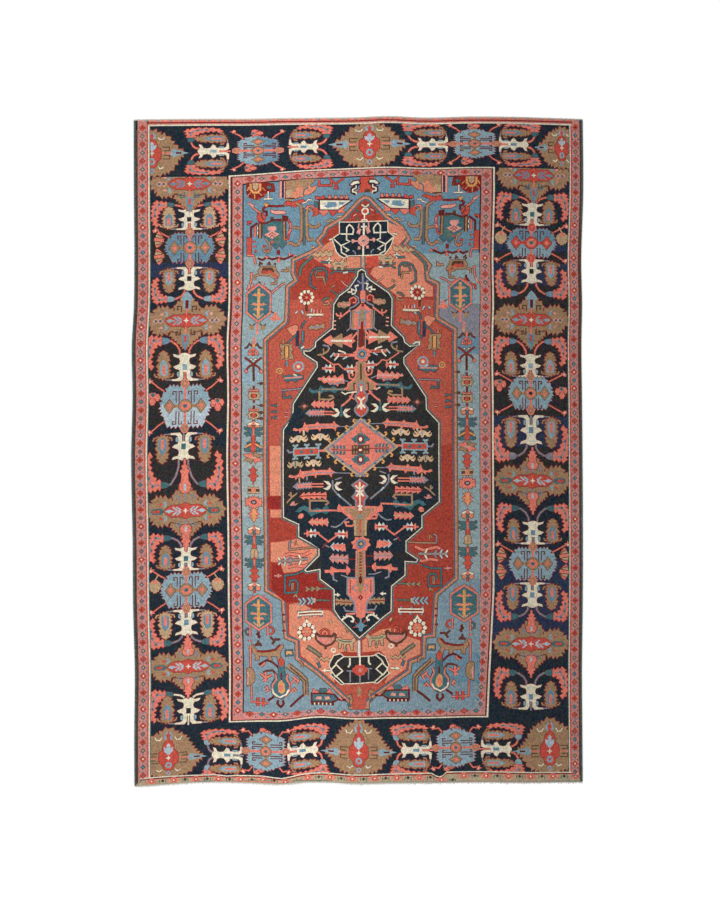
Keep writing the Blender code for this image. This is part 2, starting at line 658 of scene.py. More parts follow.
@dataclass(frozen=True)
class Palmette:
    """The wide serrated palmette of the main border, 80 knots across and 54 along.

    Attributes:
        body: the wool of its leaf.
        heart: of the cartouche.
        feather: of the two feathers on the cartouche.
        hook: of the square hooks.
        crown: how far a coral spear grows out of its top, or 0 for a blue bud.
        foot: how far a coral spear grows out of its foot, or 0 for a blue drop.
    """

    body: Dye = CAMEL
    heart: Dye = RED
    feather: Dye = LIGHT_BLUE
    hook: Dye = BROWN
    crown: float = 0
    foot: float = 0

    def draw_leaf(self, paper: Stencil) -> None:
        """Draws the serrated body: a lobe to each side and the neck between them.

        Args:
            paper: the stencil to draw on.
        """
        lobe = [(13, -8), (17, -11.5), (22, -12.6), (30, -12.6), (32, -8), (37, -5), (38, 1), (35, 5)]
        lobe += [(32, 8), (30, 12), (22, 12), (17, 11), (13, 9)]
        neck = [(0, -25), (4, -23), (6.5, -19), (11, -16), (12, -11), (10, -8), (10, 9), (15, 13)]
        neck += [(13, 16), (8, 20), (4.5, 24), (0, 28)]
        for side in paper.sides():
            side.edged(toothed(lobe, 3.6, 3.4, 0.7), self.body, DEEP_RED, 0.6)
        paper.edged(toothed(mirrored(neck), 3, 2.2, 0.7), self.body, DEEP_RED, 0.6)
        for side in paper.sides():
            side.fill([(8, -8), (20, -11), (24, 0), (20, 10.4), (8, 9)], self.body)
            side.line([(4, 13), (16, 10.6)], 0.9, BROWN)

    def draw_marks(self, paper: Stencil) -> None:
        """Draws what lies on the body's two sides: crescents, dots and square hooks.

        Args:
            paper: the stencil to draw on.
        """
        for part in paper.quarters():
            moon = [(22.2, -10), (19.4, -9), (18.2, -6.8), (19.4, -4.6), (22.2, -4), (20.8, -6.8)]
            part.fill(moon, LIGHT_BLUE)
            part.diamond(24.6, -6.8, 2.2, 1.5, self.heart if self.crown else PINK)
            hook = [(5.4, -8.6), (5.4, -14.2), (9.4, -14.2), (9.4, -11), (7.4, -11)]
            part.line(hook, 1.2, self.hook)
        for side in paper.sides():
            if self.crown:
                side.fill([(21, 0), (24, -2.8), (33, -2.8), (35, 0), (33, 2.8), (24, 2.8)], TEAL)
                side.fill([(25, 0), (26, -1.4), (32, -1.4), (33, 0), (32, 1.4), (26, 1.4)], self.heart)
                continue
            for x in (26, 30.4):
                side.diamond(x, 0, 3.2, 3.0, PINK)
                side.diamond(x, 0, 1.9, 1.8, TEAL)

    def draw_cartouche(self, paper: Stencil) -> None:
        """Draws the red cartouche with its cross and feathers.

        Args:
            paper: the stencil to draw on.
        """
        edge = [(0, -7.6), (3.6, -6.2), (5, -5.6), (14, -5.8), (18, -3.4), (21.5, 0)]
        paper.edged(quartered(edge), self.heart, MAROON, 0.5)
        for side in paper.sides():
            side.line([(5.5, 0), (13, 0)], 1.2, self.feather)
            side.diamond(16.4, 0, 4.2, 2.0, self.feather)
            for root in (4.6, 8.4):
                for tip in (-3.9, 3.9):
                    side.line([(root, tip * 0.15), (root + 4.4, tip)], 1.5, self.feather)
            side.line([(7.5, 0), (12, 0)], 0.7, self.heart)
        paper.diamond(0, 0, 3.0, 1.2, IVORY)
        paper.diamond(0, 0, 1.2, 3.0, IVORY)

    def draw_spear(self, paper: Stencil, reach: float) -> None:
        """Draws a coral spear that points up from the palmette's upper edge.

        Args:
            paper: the stencil to draw on.
            reach: its length, in knots.
        """
        tip = paper.at(0, 0, along=reach / 50)
        edge = [(0, -50), (1.1, -49), (1.1, -44), (3.4, -43), (2.2, -40), (5, -38), (3.2, -35)]
        edge += [(3.8, -28), (6, -25), (5.4, -20), (3.6, -17), (0, -17)]
        tip.edged(mirrored(edge), CORAL, MAROON, 0.6)
        tip.box(0, -22.5, 1.1, 3.2, PALE_BLUE)
        paper.line([(0, -0.34 * reach), (0, -8)], 1.8, GREY)

    def draw(self, paper: Stencil) -> None:
        """Draws the whole palmette.

        Args:
            paper: the stencil to draw on.
        """
        self.draw_leaf(paper)
        self.draw_marks(paper)
        self.draw_cartouche(paper)
        if self.crown:
            self.draw_spear(paper, self.crown)
            self.draw_spear(paper.at(along=-1), self.foot)
            return
        bud = [(0, -29.5), (2.6, -27), (5.8, -22.6), (5.8, -20.4), (3.6, -20), (3.6, -11.6), (0, -11.6)]
        paper.fill(mirrored(bud), self.feather)
        paper.box(0, -16.2, 1.6, 4.2, MAROON)
        paper.line([(0, -11.6), (0, -6)], 1.4, CORAL)
        paper.line([(0, 6), (0, 15)], 1.4, CORAL)
        paper.fill(mirrored([(0, 14), (3.6, 14), (3.6, 21), (1.6, 26), (0, 31)]), MID_BLUE)
        paper.box(0, 18.6, 1.3, 3.2, RED)


@dataclass(frozen=True)
class EndPalmette:
    """The pointed palmette of the end borders, 80 knots across with its two buds.

    Attributes:
        top: from its cross to its upper end, in knots.
    """

    top: float = 32

    def fitted(self, points: Path) -> list[Point]:
        """A right half with what lies above the cross brought to the palmette's own height."""
        return mirrored([(x, y * (self.top / 32 if y < 0 else 1)) for x, y in points])

    def draw_buds(self, paper: Stencil) -> None:
        """Draws what lies to both sides of the cartouche.

        Args:
            paper: the stencil to draw on.
        """
        for side in paper.sides():
            side.fill([(20, -1), (23, -4), (28, -2.6), (40, 0), (28, 2.6), (23, 4), (20, 1)], LIGHT_BLUE)
            side.box(29, 0, 3, 0.9, MAROON)
            side.line([(8, 0), (21, 0)], 1.2, CORAL)
            for y in (-5.6, 5.6):
                side.line([(11, y), (19, y), (19, 0.4 * y), (13, 0.4 * y)], 0.9, BROWN)

    def draw(self, paper: Stencil) -> None:
        """Draws the whole palmette.

        Args:
            paper: the stencil to draw on.
        """
        leaf = [(0, -32), (6, -29.6), (9.4, -26), (15, -24.6), (20, -18), (23, -12), (28, -5.6), (34, 0)]
        leaf += [(28, 5.6), (24.6, 11), (20, 16.4), (12, 18.6), (6, 20.4), (0, 20.8)]
        paper.edged(toothed(self.fitted(leaf), 3.6, 3.2, 0.7), CAMEL, DEEP_RED, 0.6)
        self.draw_buds(paper)
        heart = [(0, -19), (3.4, -18), (5.4, -14), (6, -9), (9.6, -6), (10, 0), (9.6, 5), (6, 8), (5, 12),
                 (0, 15)]
        paper.edged(self.fitted(heart), RED, MAROON, 0.5)
        high = paper.at(along=self.top / 32)
        for side in paper.sides():
            side.line([(6.4, 12.6), (9, 15), (12.6, 13.4)], 1.0, IVORY)
        for side in high.sides():
            side.line([(6.4, -23), (8.6, -19.8), (12, -20), (13.6, -23)], 1.0, IVORY)
        high.disc(0, -24, 4.6, 5.4, 8, LIGHT_BLUE)
        high.fill(mirrored([(0, -31), (1, -27), (2.6, -25), (1.2, -22), (2.6, -19), (0, -16)]), RED)
        high.fill(mirrored([(0, -16.4), (2, -14), (1.6, -11), (5, -12), (4.4, -7.4), (1.6, -4.4),
                            (0, -3)]), PALE_BLUE)
        for y, r in ((8, 3.6), (17, 2.6)):
            paper.disc(0, y, r, r, 8, LIGHT_BLUE)
            paper.disc(0, y, 0.45 * r, 0.45 * r, 6, RED)
        paper.diamond(0, 0, 3.0, 1.2, IVORY)
        paper.diamond(0, 0, 1.2, 3.0, IVORY)


class Spray(Enum):
    """What grows out of a rosette's sides."""

    FAN = "striped fans"
    FLOWER = "three-petalled flowers"
    BUD = "hanging buds"


@dataclass(frozen=True)
class Rosette:
    """The blue serrated rosette of the main border, 52 knots across and 44 along.

    Attributes:
        upper: the wool of its upper half.
        lower: of its lower half.
        chain: of the three linked diamonds across it.
        heart: of their hearts.
        core: of the middle's core.
        spray: what grows out of its sides.
        reach: from its middle to the sprays' ends.
        body: its own length, as a share of 44 knots.
    """

    upper: Dye = LIGHT_BLUE
    lower: Dye = LIGHT_BLUE
    chain: Dye = CAMEL
    heart: Dye = CORAL
    core: Dye = TEAL
    spray: Spray = Spray.FLOWER
    reach: float = 38
    body: float = 1.0

    def draw_flower(self, paper: Stencil) -> None:
        """Draws a flower of three petals that hangs at the side.

        Args:
            paper: the stencil to draw on.
        """
        for x, y in ((-4.5, 2), (4.5, 1), (1, 6.5)):
            paper.edged(paper.ring(x, y, 4, 4.4, 6), CORAL, MAROON, 0.7)
        paper.box(0, -0.5, 2.6, 3.0, CORAL)
        paper.diamond(0.4, -1, 3.0, 2.8, TEAL)

    def draw_fan(self, paper: Stencil) -> None:
        """Draws a fan that opens away from the rosette."""
        for end, wool in ((-7.6, CORAL), (7.6, CORAL), (-4, SAND), (4, SAND), (0, CORAL)):
            paper.line([(3, 0), (7, 0.7 * end), (13 - 0.4 * abs(end), end)], 3, wool, MAROON)

    def draw_bud(self, paper: Stencil) -> None:
        """Draws a bud that hangs on a stem.

        Args:
            paper: the stencil to draw on.
        """
        leaf = [(0, -5.5), (4, -4), (6.5, 0), (4.5, 5), (0, 8), (-4.5, 5), (-6.5, 0), (-4, -4)]
        paper.edged(toothed(leaf, 2.6, 1.0, 0.5), SAND, MAROON, 0.6)
        paper.fill([(-3.4, -4), (0, -6), (3.4, -4), (0, -0.5)], CORAL)

    def draw_sprays(self, paper: Stencil) -> None:
        """Draws the stems to the border's edges, and the flowers at the rosette's sides.

        Args:
            paper: the stencil to draw on.
        """
        for k, part in enumerate(paper.quarters()):
            bend = [(21, -15 * self.body), (27, -19 * self.body), (self.reach - 4, -25 * self.body)]
            if k < 2 or self.spray is not Spray.FAN:
                part.line([*bend, (self.reach, -25 * self.body)], 1.2, CORAL, MAROON)
                tip = part.at(self.reach - 2.5, -25.5 * self.body)
                tip.edged([(-3.4, -1), (-0.6, -1.4), (0, -4), (1.6, -1), (3.6, 0), (2.5, 2.6),
                           (-0.5, 2)], CORAL, MAROON, 0.3)
                tip.diamond(0.6, 0.4, 1.1, 1.1, IVORY)
            if self.spray is Spray.FAN:
                self.draw_fan(part.at(self.reach - 13, -7.5, 0.95, 0.95, turn=-8))
            elif self.spray is Spray.FLOWER and k < 2:
                self.draw_flower(part.at(self.reach - 5.5, -11 if k else -4, 0.85, 0.9))
            elif self.spray is Spray.BUD and k < 2:
                self.draw_bud(part.at(self.reach - 6, -6, 0.95, 0.95))
                part.line([(self.reach - 6, -11), (self.reach - 10, -17)], 1.2, SAND)

    def draw_hooks(self, paper: Stencil) -> None:
        """Draws the slim double hooks above and below the chain.

        Args:
            paper: the stencil to draw on.
        """
        for half, top, foot in ((paper, 14.6, 3.6), (paper.at(along=-1), 18, 5)):
            top *= 0.35 + 0.65 * self.body
            for side in half.sides():
                outer = [(9.2, -foot), (9.2, -top), (12.6, -top), (12.6, -top + 2.6), (11, -top + 2.6)]
                inner = [(6.2, -foot), (6.2, -top), (3.4, -top), (3.4, -top + 2.8)]
                for hook in (outer, inner):
                    side.line(hook, 1.0, MAROON)

    def draw(self, paper: Stencil) -> None:
        """Draws the whole rosette.

        Args:
            paper: the stencil to draw on.
        """
        self.draw_sprays(paper)
        short = paper.at(along=self.body)
        top = [(0, -22), (3, -18), (10, -19.5), (17, -19), (18.5, -14), (23.4, -10), (22.6, -5), (25, 0)]
        foot = [(25, 0), (22.6, 6), (21.6, 10.5), (17.5, 12.5), (19, 18.5), (11, 20), (3, 19), (0, 21)]
        short.edged(toothed(mirrored(top + foot[1:]), 3.2, 2.8, 0.6), self.upper, DEEP_RED, 0.5)
        if self.lower is not self.upper:
            short.fill(toothed(mirrored([(0, 0), *foot]), 3.2, 2.8, 0.6), self.lower)
        self.draw_hooks(paper)
        stem = 20 * self.body
        paper.line([(0, -stem), (0, stem)], 2.2, self.heart)
        for side in paper.sides():
            side.box(9.6, 0, 5.5, 1.7, self.chain)
            side.edged([(16, -7), (21.4, 0), (16, 7), (10.8, 0)], self.chain, MAROON, 0.5)
            side.diamond(16, 0, 2.4, 3.2, self.heart)
        paper.edged(paper.ring(0, 0, 7, 6.4, 8), self.chain, MAROON, 0.5)
        paper.fill(paper.ring(0, 0, 5, 4.6, 8), self.heart)
        paper.fill(paper.ring(0, 0, 2.4, 2.0, 6), self.core)
        for end in (-1, 1):
            paper.edged(paper.ring(0, end * stem * 1.12, 3.8, 4.2, 6), self.chain, self.heart, 0.9)
            paper.box(0, end * stem * 1.12, 1.0, 1.8, self.heart)


@dataclass(frozen=True)
class Link:
    """What joins a palmette, above, to a rosette, below: ivory connector, buds and leaves.

    Attributes:
        reach: from the connector's middle to the leaves' calyxes, towards the palmette.
        spread: from the middle line to a bud's.
        stem: the wool of the two stems.
        core: of the connector's square.
        calyx: of the leaves' calyxes.
        bud: of the buds.
        leaf: how long the leaves are, as a share of 28 knots.
    """

    reach: float = 27
    spread: float = 21
    stem: Dye = CORAL
    core: Dye = MID_BLUE
    calyx: Dye = LIGHT_BLUE
    bud: Dye = CAMEL
    leaf: float = 1.0

    def draw_connector(self, paper: Stencil) -> None:
        """Draws the ivory connector, arms towards the palmette and legs towards the rosette.

        Args:
            paper: the stencil to draw on.
        """
        edge = [(0, -14.2), (3.2, -13.6), (6, -12), (11.6, -13.2), (10.4, -10.6), (5.4, -9), (4.4, -6),
                (5.4, -3)]
        edge += [(11.4, -0.6), (9, 1.8), (5.6, 2.6), (5.2, 6), (5.6, 10), (8, 11.6), (13.6, 12), (13.4, 13.6)]
        edge += [(4, 14), (1.6, 11), (1.6, 5), (0, 5)]
        paper.edged(mirrored(edge), IVORY, MAROON, 0.7)
        paper.line([(0, 5), (0, 15)], 1.6, self.stem)
        for side in paper.sides():
            side.fill([(5.8, 4), (8, 5.5), (7.8, 9), (5.8, 10)], LIGHT_BLUE)
            side.line([(13, 12.8), (19, 12.4)], 1.2, GREY)
        paper.box(0, 0, 2.3, 2.9, self.core)

    def draw_bud(self, paper: Stencil) -> None:
        """Draws one upright serrated bud with its arch and curled base.

        Args:
            paper: the stencil to draw on.
        """
        base = [(-9.6, 8.5), (-8.6, 11.4), (-4, 12.4), (0, 14.4), (4, 12.4), (8.6, 11.4), (9.6, 8.5)]
        paper.line(base, 1.3, self.bud, MAROON)
        edge = [(0, -14.4), (2, -13), (3, -9), (5.4, -6.4), (4.2, -3.4), (5.6, -1.4), (5, 4)]
        edge += [(5, 11), (2.6, 13), (0, 13.6)]
        paper.edged(toothed(mirrored(edge), 3.2, 2.2, 0.5), self.bud, DEEP_RED, 0.6)
        arch = [(0, -5.4), (2.4, -3), (3.8, 1), (3.8, 10), (0, 11)]
        paper.fill(mirrored(arch), MID_BLUE if self.calyx is TEAL else LIGHT_BLUE)
        paper.fill(mirrored([(0, -0.6), (1.6, 1.4), (1.7, 9.4), (0, 10)]), CORAL)

    def draw_leaf(self, paper: Stencil) -> None:
        """Draws the leaf that grows out of the calyx and curls back along the border's edge.

        Args:
            paper: the stencil to draw on.
        """
        edge = [(0, -2.2), (4, -2.8), (9, -3.8), (13, -4.6), (13.6, -1), (15.6, 4), (15.4, 10), (15.8, 16),
                (15, 22)]
        edge += [(13, 26.4), (10, 27), (8.6, 25), (10, 24), (12, 23), (12.2, 18), (11.2, 13), (9, 7.6),
                 (5.6, 3), (0, 2.6)]
        paper.edged(toothed(edge, 3.4, 2.4, 0.6), CORAL, DEEP_RED, 0.6)
        paper.line([(3, 0), (8.6, -0.4), (12, 3.6), (13.6, 9), (13.8, 16)], 1.1, MID_BLUE)
        for x, y in ((9, -1), (12.6, 6), (13.4, 14)):
            paper.diamond(x, y, 1.6, 1.8, TEAL)

    def draw(self, paper: Stencil) -> None:
        """Draws the link.

        Args:
            paper: the stencil to draw on.
        """
        up = self.reach
        for side in paper.sides():
            bend = 0.45 * (up - 12)
            stem = [(4.6, -12), (4.8, -13 - bend * 0.6), (8, -12.6 - bend * 1.5), (13, 0.4 - up), (16, -up)]
            side.line(stem, 1.7, self.stem, MAROON)
            self.draw_leaf(side.at(22, -up, along=self.leaf))
            calyx = [(15, -up - 1.6), (17.6, -up - 3), (22.4, -up - 3.6), (22.6, -up + 3.4), (18, -up + 3)]
            side.edged([*calyx, (15, -up + 1.4)], self.calyx, MAROON, 0.3)
            self.draw_bud(side.at(self.spread, -2.6))
        self.draw_connector(paper)


class BorderRow(NamedTuple):
    """Where a motif of the main border stands.

    Attributes:
        x: of its middle.
        y: of its middle.
        turn: clockwise, in degrees.
        across: its scale sideways.
        along: its scale lengthways.
        motif: what is drawn there.
    """

    x: float
    y: float
    turn: float
    across: float
    along: float
    motif: Palmette | EndPalmette | Rosette | Link


@dataclass(frozen=True)
class MainBorder:
    """The wide navy border, with palmettes and rosettes in turn, joined by links."""

    def left(self) -> Iterable[BorderRow]:
        """The left side, from above."""
        spears = Palmette(feather=PALE_BLUE, hook=GREY, crown=50, foot=39)
        spears_below = Palmette(feather=PALE_BLUE, hook=GREY, crown=34, foot=34)
        yield BorderRow(189, 183, 0, 1, 0.96, Palmette(feather=MID_BLUE, hook=TEAL))
        yield BorderRow(188.5, 218.6, 0, 0.97, 0.76, Link(reach=19, calyx=TEAL, bud=SAND, core=NIGHT))
        yield BorderRow(189, 247, 0, 0.96, 0.98, Rosette(MID_BLUE, MID_BLUE, spray=Spray.FAN, body=0.72))
        yield BorderRow(188.5, 278, 180, 0.97, 0.84, Link(reach=24, core=NIGHT, leaf=0.9))
        yield BorderRow(186.5, 320, 0, 1, 1, Palmette())
        yield BorderRow(186, 366.5, 0, 1, 1, Link(reach=26.5, core=LIGHT_BLUE, calyx=MID_BLUE))
        yield BorderRow(186, 405.5, 0, 0.98, 1, Rosette(LIGHT_BLUE, PALE_BLUE))
        yield BorderRow(185.3, 446, 180, 1, 1, Link(reach=38, stem=GREY, core=TEAL, calyx=TEAL, leaf=1.15))
        yield BorderRow(186.5, 510.5, 0, 1, 1.05, spears)
        yield BorderRow(186.3, 558.5, 0, 0.97, 0.85, Link(reach=25, stem=GREY, core=TEAL, calyx=TEAL))
        yield BorderRow(186.5, 590, 0, 0.98, 1, Rosette(spray=Spray.BUD, body=0.82))
        yield BorderRow(186, 622.5, 180, 1, 0.94, Link(reach=21, stem=GREY, calyx=TEAL, bud=SAND, leaf=0.95))
        yield BorderRow(187, 666.5, 0, 1, 0.95, spears_below)
        yield BorderRow(187.5, 711, 0, 1.02, 0.95, Link(reach=18, stem=IVORY, core=NIGHT, calyx=TEAL))

    def right(self) -> Iterable[BorderRow]:
        """The right side, from above."""
        plain = Palmette()
        spears = Palmette(feather=PALE_BLUE, hook=GREY, crown=34, foot=34)
        yield BorderRow(533, 176, 0, 0.93, 0.95, Palmette(feather=MID_BLUE, hook=TEAL))
        yield BorderRow(532, 215, 0, 0.93, 0.82, Link(reach=21, core=TEAL, calyx=TEAL, spread=17.5))
        yield BorderRow(
            532, 243.5, 0, 0.96, 0.95, Rosette(MID_BLUE, LIGHT_BLUE, RED, spray=Spray.BUD, body=0.72)
        )
        yield BorderRow(532.3, 272, 180, 0.93, 0.86, Link(reach=26, core=NIGHT, calyx=MID_BLUE))
        yield BorderRow(531.8, 320.5, 0, 0.95, 1, plain)
        yield BorderRow(531.4, 366.5, 0, 0.93, 0.84, Link(reach=29, core=LIGHT_BLUE, calyx=MID_BLUE))
        yield BorderRow(531.2, 394, 0, 0.86, 0.95, Rosette(body=0.8, core=NIGHT, reach=41))
        yield BorderRow(531.4, 430.8, 180, 0.96, 1.08, Link(reach=24, stem=GREY, calyx=GREY))
        yield BorderRow(532.6, 481.5, 0, 0.95, 1, spears)
        yield BorderRow(532.7, 533.4, 0, 0.93, 0.84, Link(reach=29, stem=GREY, calyx=TEAL))
        yield BorderRow(532.5, 564.4, 0, 0.92, 0.95, Rosette(spray=Spray.FAN, body=0.8, reach=40))
        yield BorderRow(532, 595.6, 180, 0.93, 0.9, Link(reach=24, stem=GREY, calyx=TEAL))
        yield BorderRow(531.2, 644.6, 0, 0.95, 1, spears)
        yield BorderRow(531, 697.5, 0, 0.95, 0.92, Link(reach=26, stem=GREY, calyx=TEAL))

    def ends(self) -> Iterable[BorderRow]:
        """The upper end and the lower end, from the left."""
        yield BorderRow(151.5, 152, 0, 0.92, 1.05, EndPalmette(top=21))
        yield BorderRow(213, 150.5, -90, 0.6, 1.12, Link(reach=20, core=LIGHT_BLUE, calyx=TEAL))
        yield BorderRow(257.5, 150, -90, 0.56, 0.96, Rosette(LIGHT_BLUE, MID_BLUE, body=1.0, reach=36))
        yield BorderRow(303, 147, 90, 0.56, 1.05, Link(reach=22, calyx=TEAL))
        yield BorderRow(369, 145, 0, 1.04, 1.06, EndPalmette(top=19.6))
        yield BorderRow(432, 145, -90, 0.56, 1.1, Link(reach=22, calyx=TEAL))
        yield BorderRow(474, 145, -90, 0.56, 0.96, Rosette(LIGHT_BLUE, LIGHT_BLUE, reach=36))
        yield BorderRow(513, 145.5, 90, 0.56, 1.05, Link(reach=20, calyx=TEAL))
        yield BorderRow(561.2, 147.8, 0, 0.7, 0.92, EndPalmette(top=21.4))
        yield BorderRow(167.5, 757, 0, 0.98, 0.88, EndPalmette(top=33))
        yield BorderRow(226.5, 756, -90, 0.66, 1.1, Link(reach=18, stem=GREY, calyx=LIGHT_BLUE))
        yield BorderRow(265, 751, -90, 0.74, 0.9, Rosette(reach=30))
        yield BorderRow(302, 751.5, 90, 0.66, 1.1, Link(reach=18, calyx=LIGHT_BLUE))
        yield BorderRow(358.2, 752.6, 0, 0.96, 1, EndPalmette())
        yield BorderRow(416, 750.5, -90, 0.66, 1.1, Link(reach=18, calyx=LIGHT_BLUE))
        yield BorderRow(455.5, 748.5, -90, 0.74, 0.9, Rosette(reach=30))
        yield BorderRow(496, 750, 90, 0.66, 1.1, Link(reach=20, calyx=LIGHT_BLUE))
        yield BorderRow(549.6, 752, 0, 0.94, 1, EndPalmette())

    def draw(self, paper: Stencil) -> None:
        """Draws the sides, the ends' plain ground over them and then the ends.

        In each of them the links come first, so that they grow out from under the flowers.

        Args:
            paper: the stencil to draw on.
        """
        sides = [*self.left(), *self.right()]
        covers = ((128, 112, 360, 176), (360, 112, 588, 169), (128, 729, 588, 790))
        for rows, cover in ((sides, covers), ([*self.ends()], ())):
            for row in sorted(rows, key=lambda row: not isinstance(row.motif, Link)):
                row.motif.draw(paper.at(row.x, row.y, row.across, row.along, row.turn))
            for corners in cover:
                paper.block(*corners, NAVY)


# ---------------------------------------------------------------- stripes and grounds


class AbrashRow(NamedTuple):
    """From which row of knots a ground is of another batch of wool."""

    y: float
    dye: Dye


LEFT_GROUND = (
    AbrashRow(112, NAVY),
    AbrashRow(226, NIGHT),
    AbrashRow(262, INDIGO),
    AbrashRow(276, NAVY),
    AbrashRow(330, NIGHT),
    AbrashRow(424, NAVY),
    AbrashRow(446, NIGHT),
    AbrashRow(500, NAVY),
    AbrashRow(790, NAVY),
)
RIGHT_GROUND = (
    AbrashRow(112, NAVY),
    AbrashRow(242, INDIGO),
    AbrashRow(252, NIGHT),
    AbrashRow(264, INDIGO),
    AbrashRow(286, NIGHT),
    AbrashRow(417, INDIGO),
    AbrashRow(448, NIGHT),
    AbrashRow(486, NAVY),
    AbrashRow(560, INDIGO),
    AbrashRow(640, NAVY),
    AbrashRow(790, NAVY),
)


def draw_ground(paper: Stencil, rows: Sequence[AbrashRow], left: float, right: float) -> None:
    """Fills a ground with its batches of wool, from side to side.

    Args:
        paper: the stencil.
        rows: the batches, from above, and where the last one ends.
        left: where the ground starts.
        right: where it ends.
    """
    for row, following in zip(rows, rows[1:]):
        paper.block(left, row.y, right, following.y, row.dye)


def height_on(line: Sequence[Point], x: float) -> float:
    """Reads the height of a line that runs across the carpet.

    Args:
        line: its corners, from the left.
        x: where to read it.

    Returns:
        The line's y there.
    """
    for (start_x, start_y), (end_x, end_y) in zip(line, line[1:]):
        if x <= end_x:
            return start_y + (end_y - start_y) * (x - start_x) / (end_x - start_x)
    return line[-1][1]


class FrameRow(NamedTuple):
    """How far inside the main border a line of the inner frame starts, on each side."""

    dye: Dye
    left: float
    right: float
    top: float
    bottom: float


@dataclass(frozen=True)
class Frames:
    """The lines and plain stripes round the main border and round the field.

    Attributes:
        inner_left: where the inner frame starts.
        foot: the line over the lower end's stripe.
        inner_right: where the inner frame ends.
        lean: how far its right side leans in, below.
        inner_top: its upper line.
        inner_bottom: its lower line, from the right.
        inner_rows: its wools, from outside.
        blocks: how many blocks the upper end's stripe has, and from one to the next.
        rosettes: how many rosettes the lower end's stripe has, and from one to the next.
    """

    inner_left: float = 227.9
    foot: tuple[Point, ...] = (
        (140, 775.4), (150, 775.1), (165, 774.9), (180, 775.2), (200, 775.6), (214, 775.4), (226, 776.5),
        (236, 775.6), (262, 775.2), (281, 777), (300, 774.8), (355, 774.1), (431, 773), (435.4, 775.8),
        (438.6, 776.8), (441.8, 776), (446, 772.2), (500, 772.4), (576, 773),
    )
    inner_right: float = 494.1
    lean: float = 6
    inner_top: tuple[Point, ...] = ((228, 174.9), (270, 172.4), (300, 170.6), (355, 168.5), (495, 168.3))
    inner_bottom: tuple[Point, ...] = ((495, 718.4), (355, 719), (300, 720), (266, 721), (228, 723.2))
    inner_rows: tuple[FrameRow, ...] = (
        FrameRow(IVORY, 0, 0, 0, 0),
        FrameRow(MAROON, 1.8, 1.7, 1.2, 1.3),
        FrameRow(ROSE, 4.0, 3.2, 2.0, 2.4),
        FrameRow(NIGHT, 13.8, 13.5, 8.2, 10.2),
        FrameRow(MID_BLUE, 15.1, 14.9, 9.5, 11.3),
    )
    blocks: tuple[int, float] = (36, 12.3)
    rosettes: tuple[int, float] = (20, 22.35)

    def inner_outline(self, row: FrameRow) -> list[Point]:
        """The closed line inside which a row's wool lies.

        Args:
            row: the frame's line.

        Returns:
            The line's corners.
        """
        left, right = self.inner_left + row.left, self.inner_right - row.right
        top = [(min(max(x, left), right), y + row.top) for x, y in self.inner_top]
        bottom = [(min(max(x, left), right - self.lean), y - row.bottom) for x, y in self.inner_bottom]
        return [*top, (right, 592), *bottom]

    def draw_outer(self, paper: Stencil) -> None:
        """Draws the outer guard's grounds and lines, and the end stripes' grounds and lines.

        Args:
            paper: the stencil to draw on.
        """
        sides = (
            (130, 137.6, 128.5, 786, BROWN),
            (137.2, 146.3, 112, 779, ROSE),
            (146.3, 147.6, 122, 779, RED),
            (147.6, 149, 123.6, 777.6, IVORY),
            (149, 149.9, 124.8, 776.8, TEAL),
            (568.2, 569, 124.8, 773.6, TEAL),
            (569, 570, 123.6, 774.2, IVORY),
            (570, 571.3, 122, 776, RED),
            (571.3, 579, 112, 776, ROSE),
            (578.9, 586, 122, 786, BROWN),
        )
        for x0, x1, y0, y1, dye in sides:
            paper.block(x0, y0, x1, y1, dye)
        for y0, y1, dye in ((112, 121.6, CORAL), (121, 122.5, DEEP_RED), (122.4, 123.6, ROSE),
                            (123.6, 124.9, IVORY)):
            paper.block(148, y0, 571, y1, dye)
        for drop, dye in ((0, IVORY), (1.1, MAROON), (2, RED), (2.6, SAGE)):
            low = [(x, y + drop) for x, y in self.foot]
            paper.fill([*low, (590, 790), (130, 790)], dye)

    def draw_end_stripes(self, paper: Stencil) -> None:
        """Draws the blocks of the upper end's stripe and the rosettes of the lower end's.

        Args:
            paper: the stencil to draw on.
        """
        count, step = self.blocks
        for k in range(count):
            x = 140 + step * k
            paper.line([(x, 118.4), (x + 3, 118.8), (x + 7.4, 120.4)], 1.1, GREY)
            paper.line([(x + 7.6, 118.2), (x + 10.4, 119.4)], 1.2, RED)
        count, step = self.rosettes
        for k in range(count):
            x = 150.4 + step * k
            y = 4.4 + height_on(self.foot, x)
            for dx in (-5.6, -3.4, 3.4, 5.6):
                paper.box(x + dx, y + 0.6, 0.5, 2.4, CORAL)
            paper.disc(x, y, 3.6, 3.2, 8, CORAL)
            paper.disc(x, y, 2.3, 2.1, 6, RED)
            paper.diamond(x, y, 1.3, 1.2, IVORY)
            paper.diamond(x + 11.2, y, 2, 1.8, BROWN)
            for dx in (8.2, 14.2):
                paper.box(x + dx, y + 0.6, 0.5, 1.6, GREEN)

    def draw_inner(self, paper: Stencil) -> None:
        """Draws the inner guard's grounds and lines and the field's ground."""
        for row in self.inner_rows:
            paper.fill(self.inner_outline(row), row.dye)


# ---------------------------------------------------------------- field


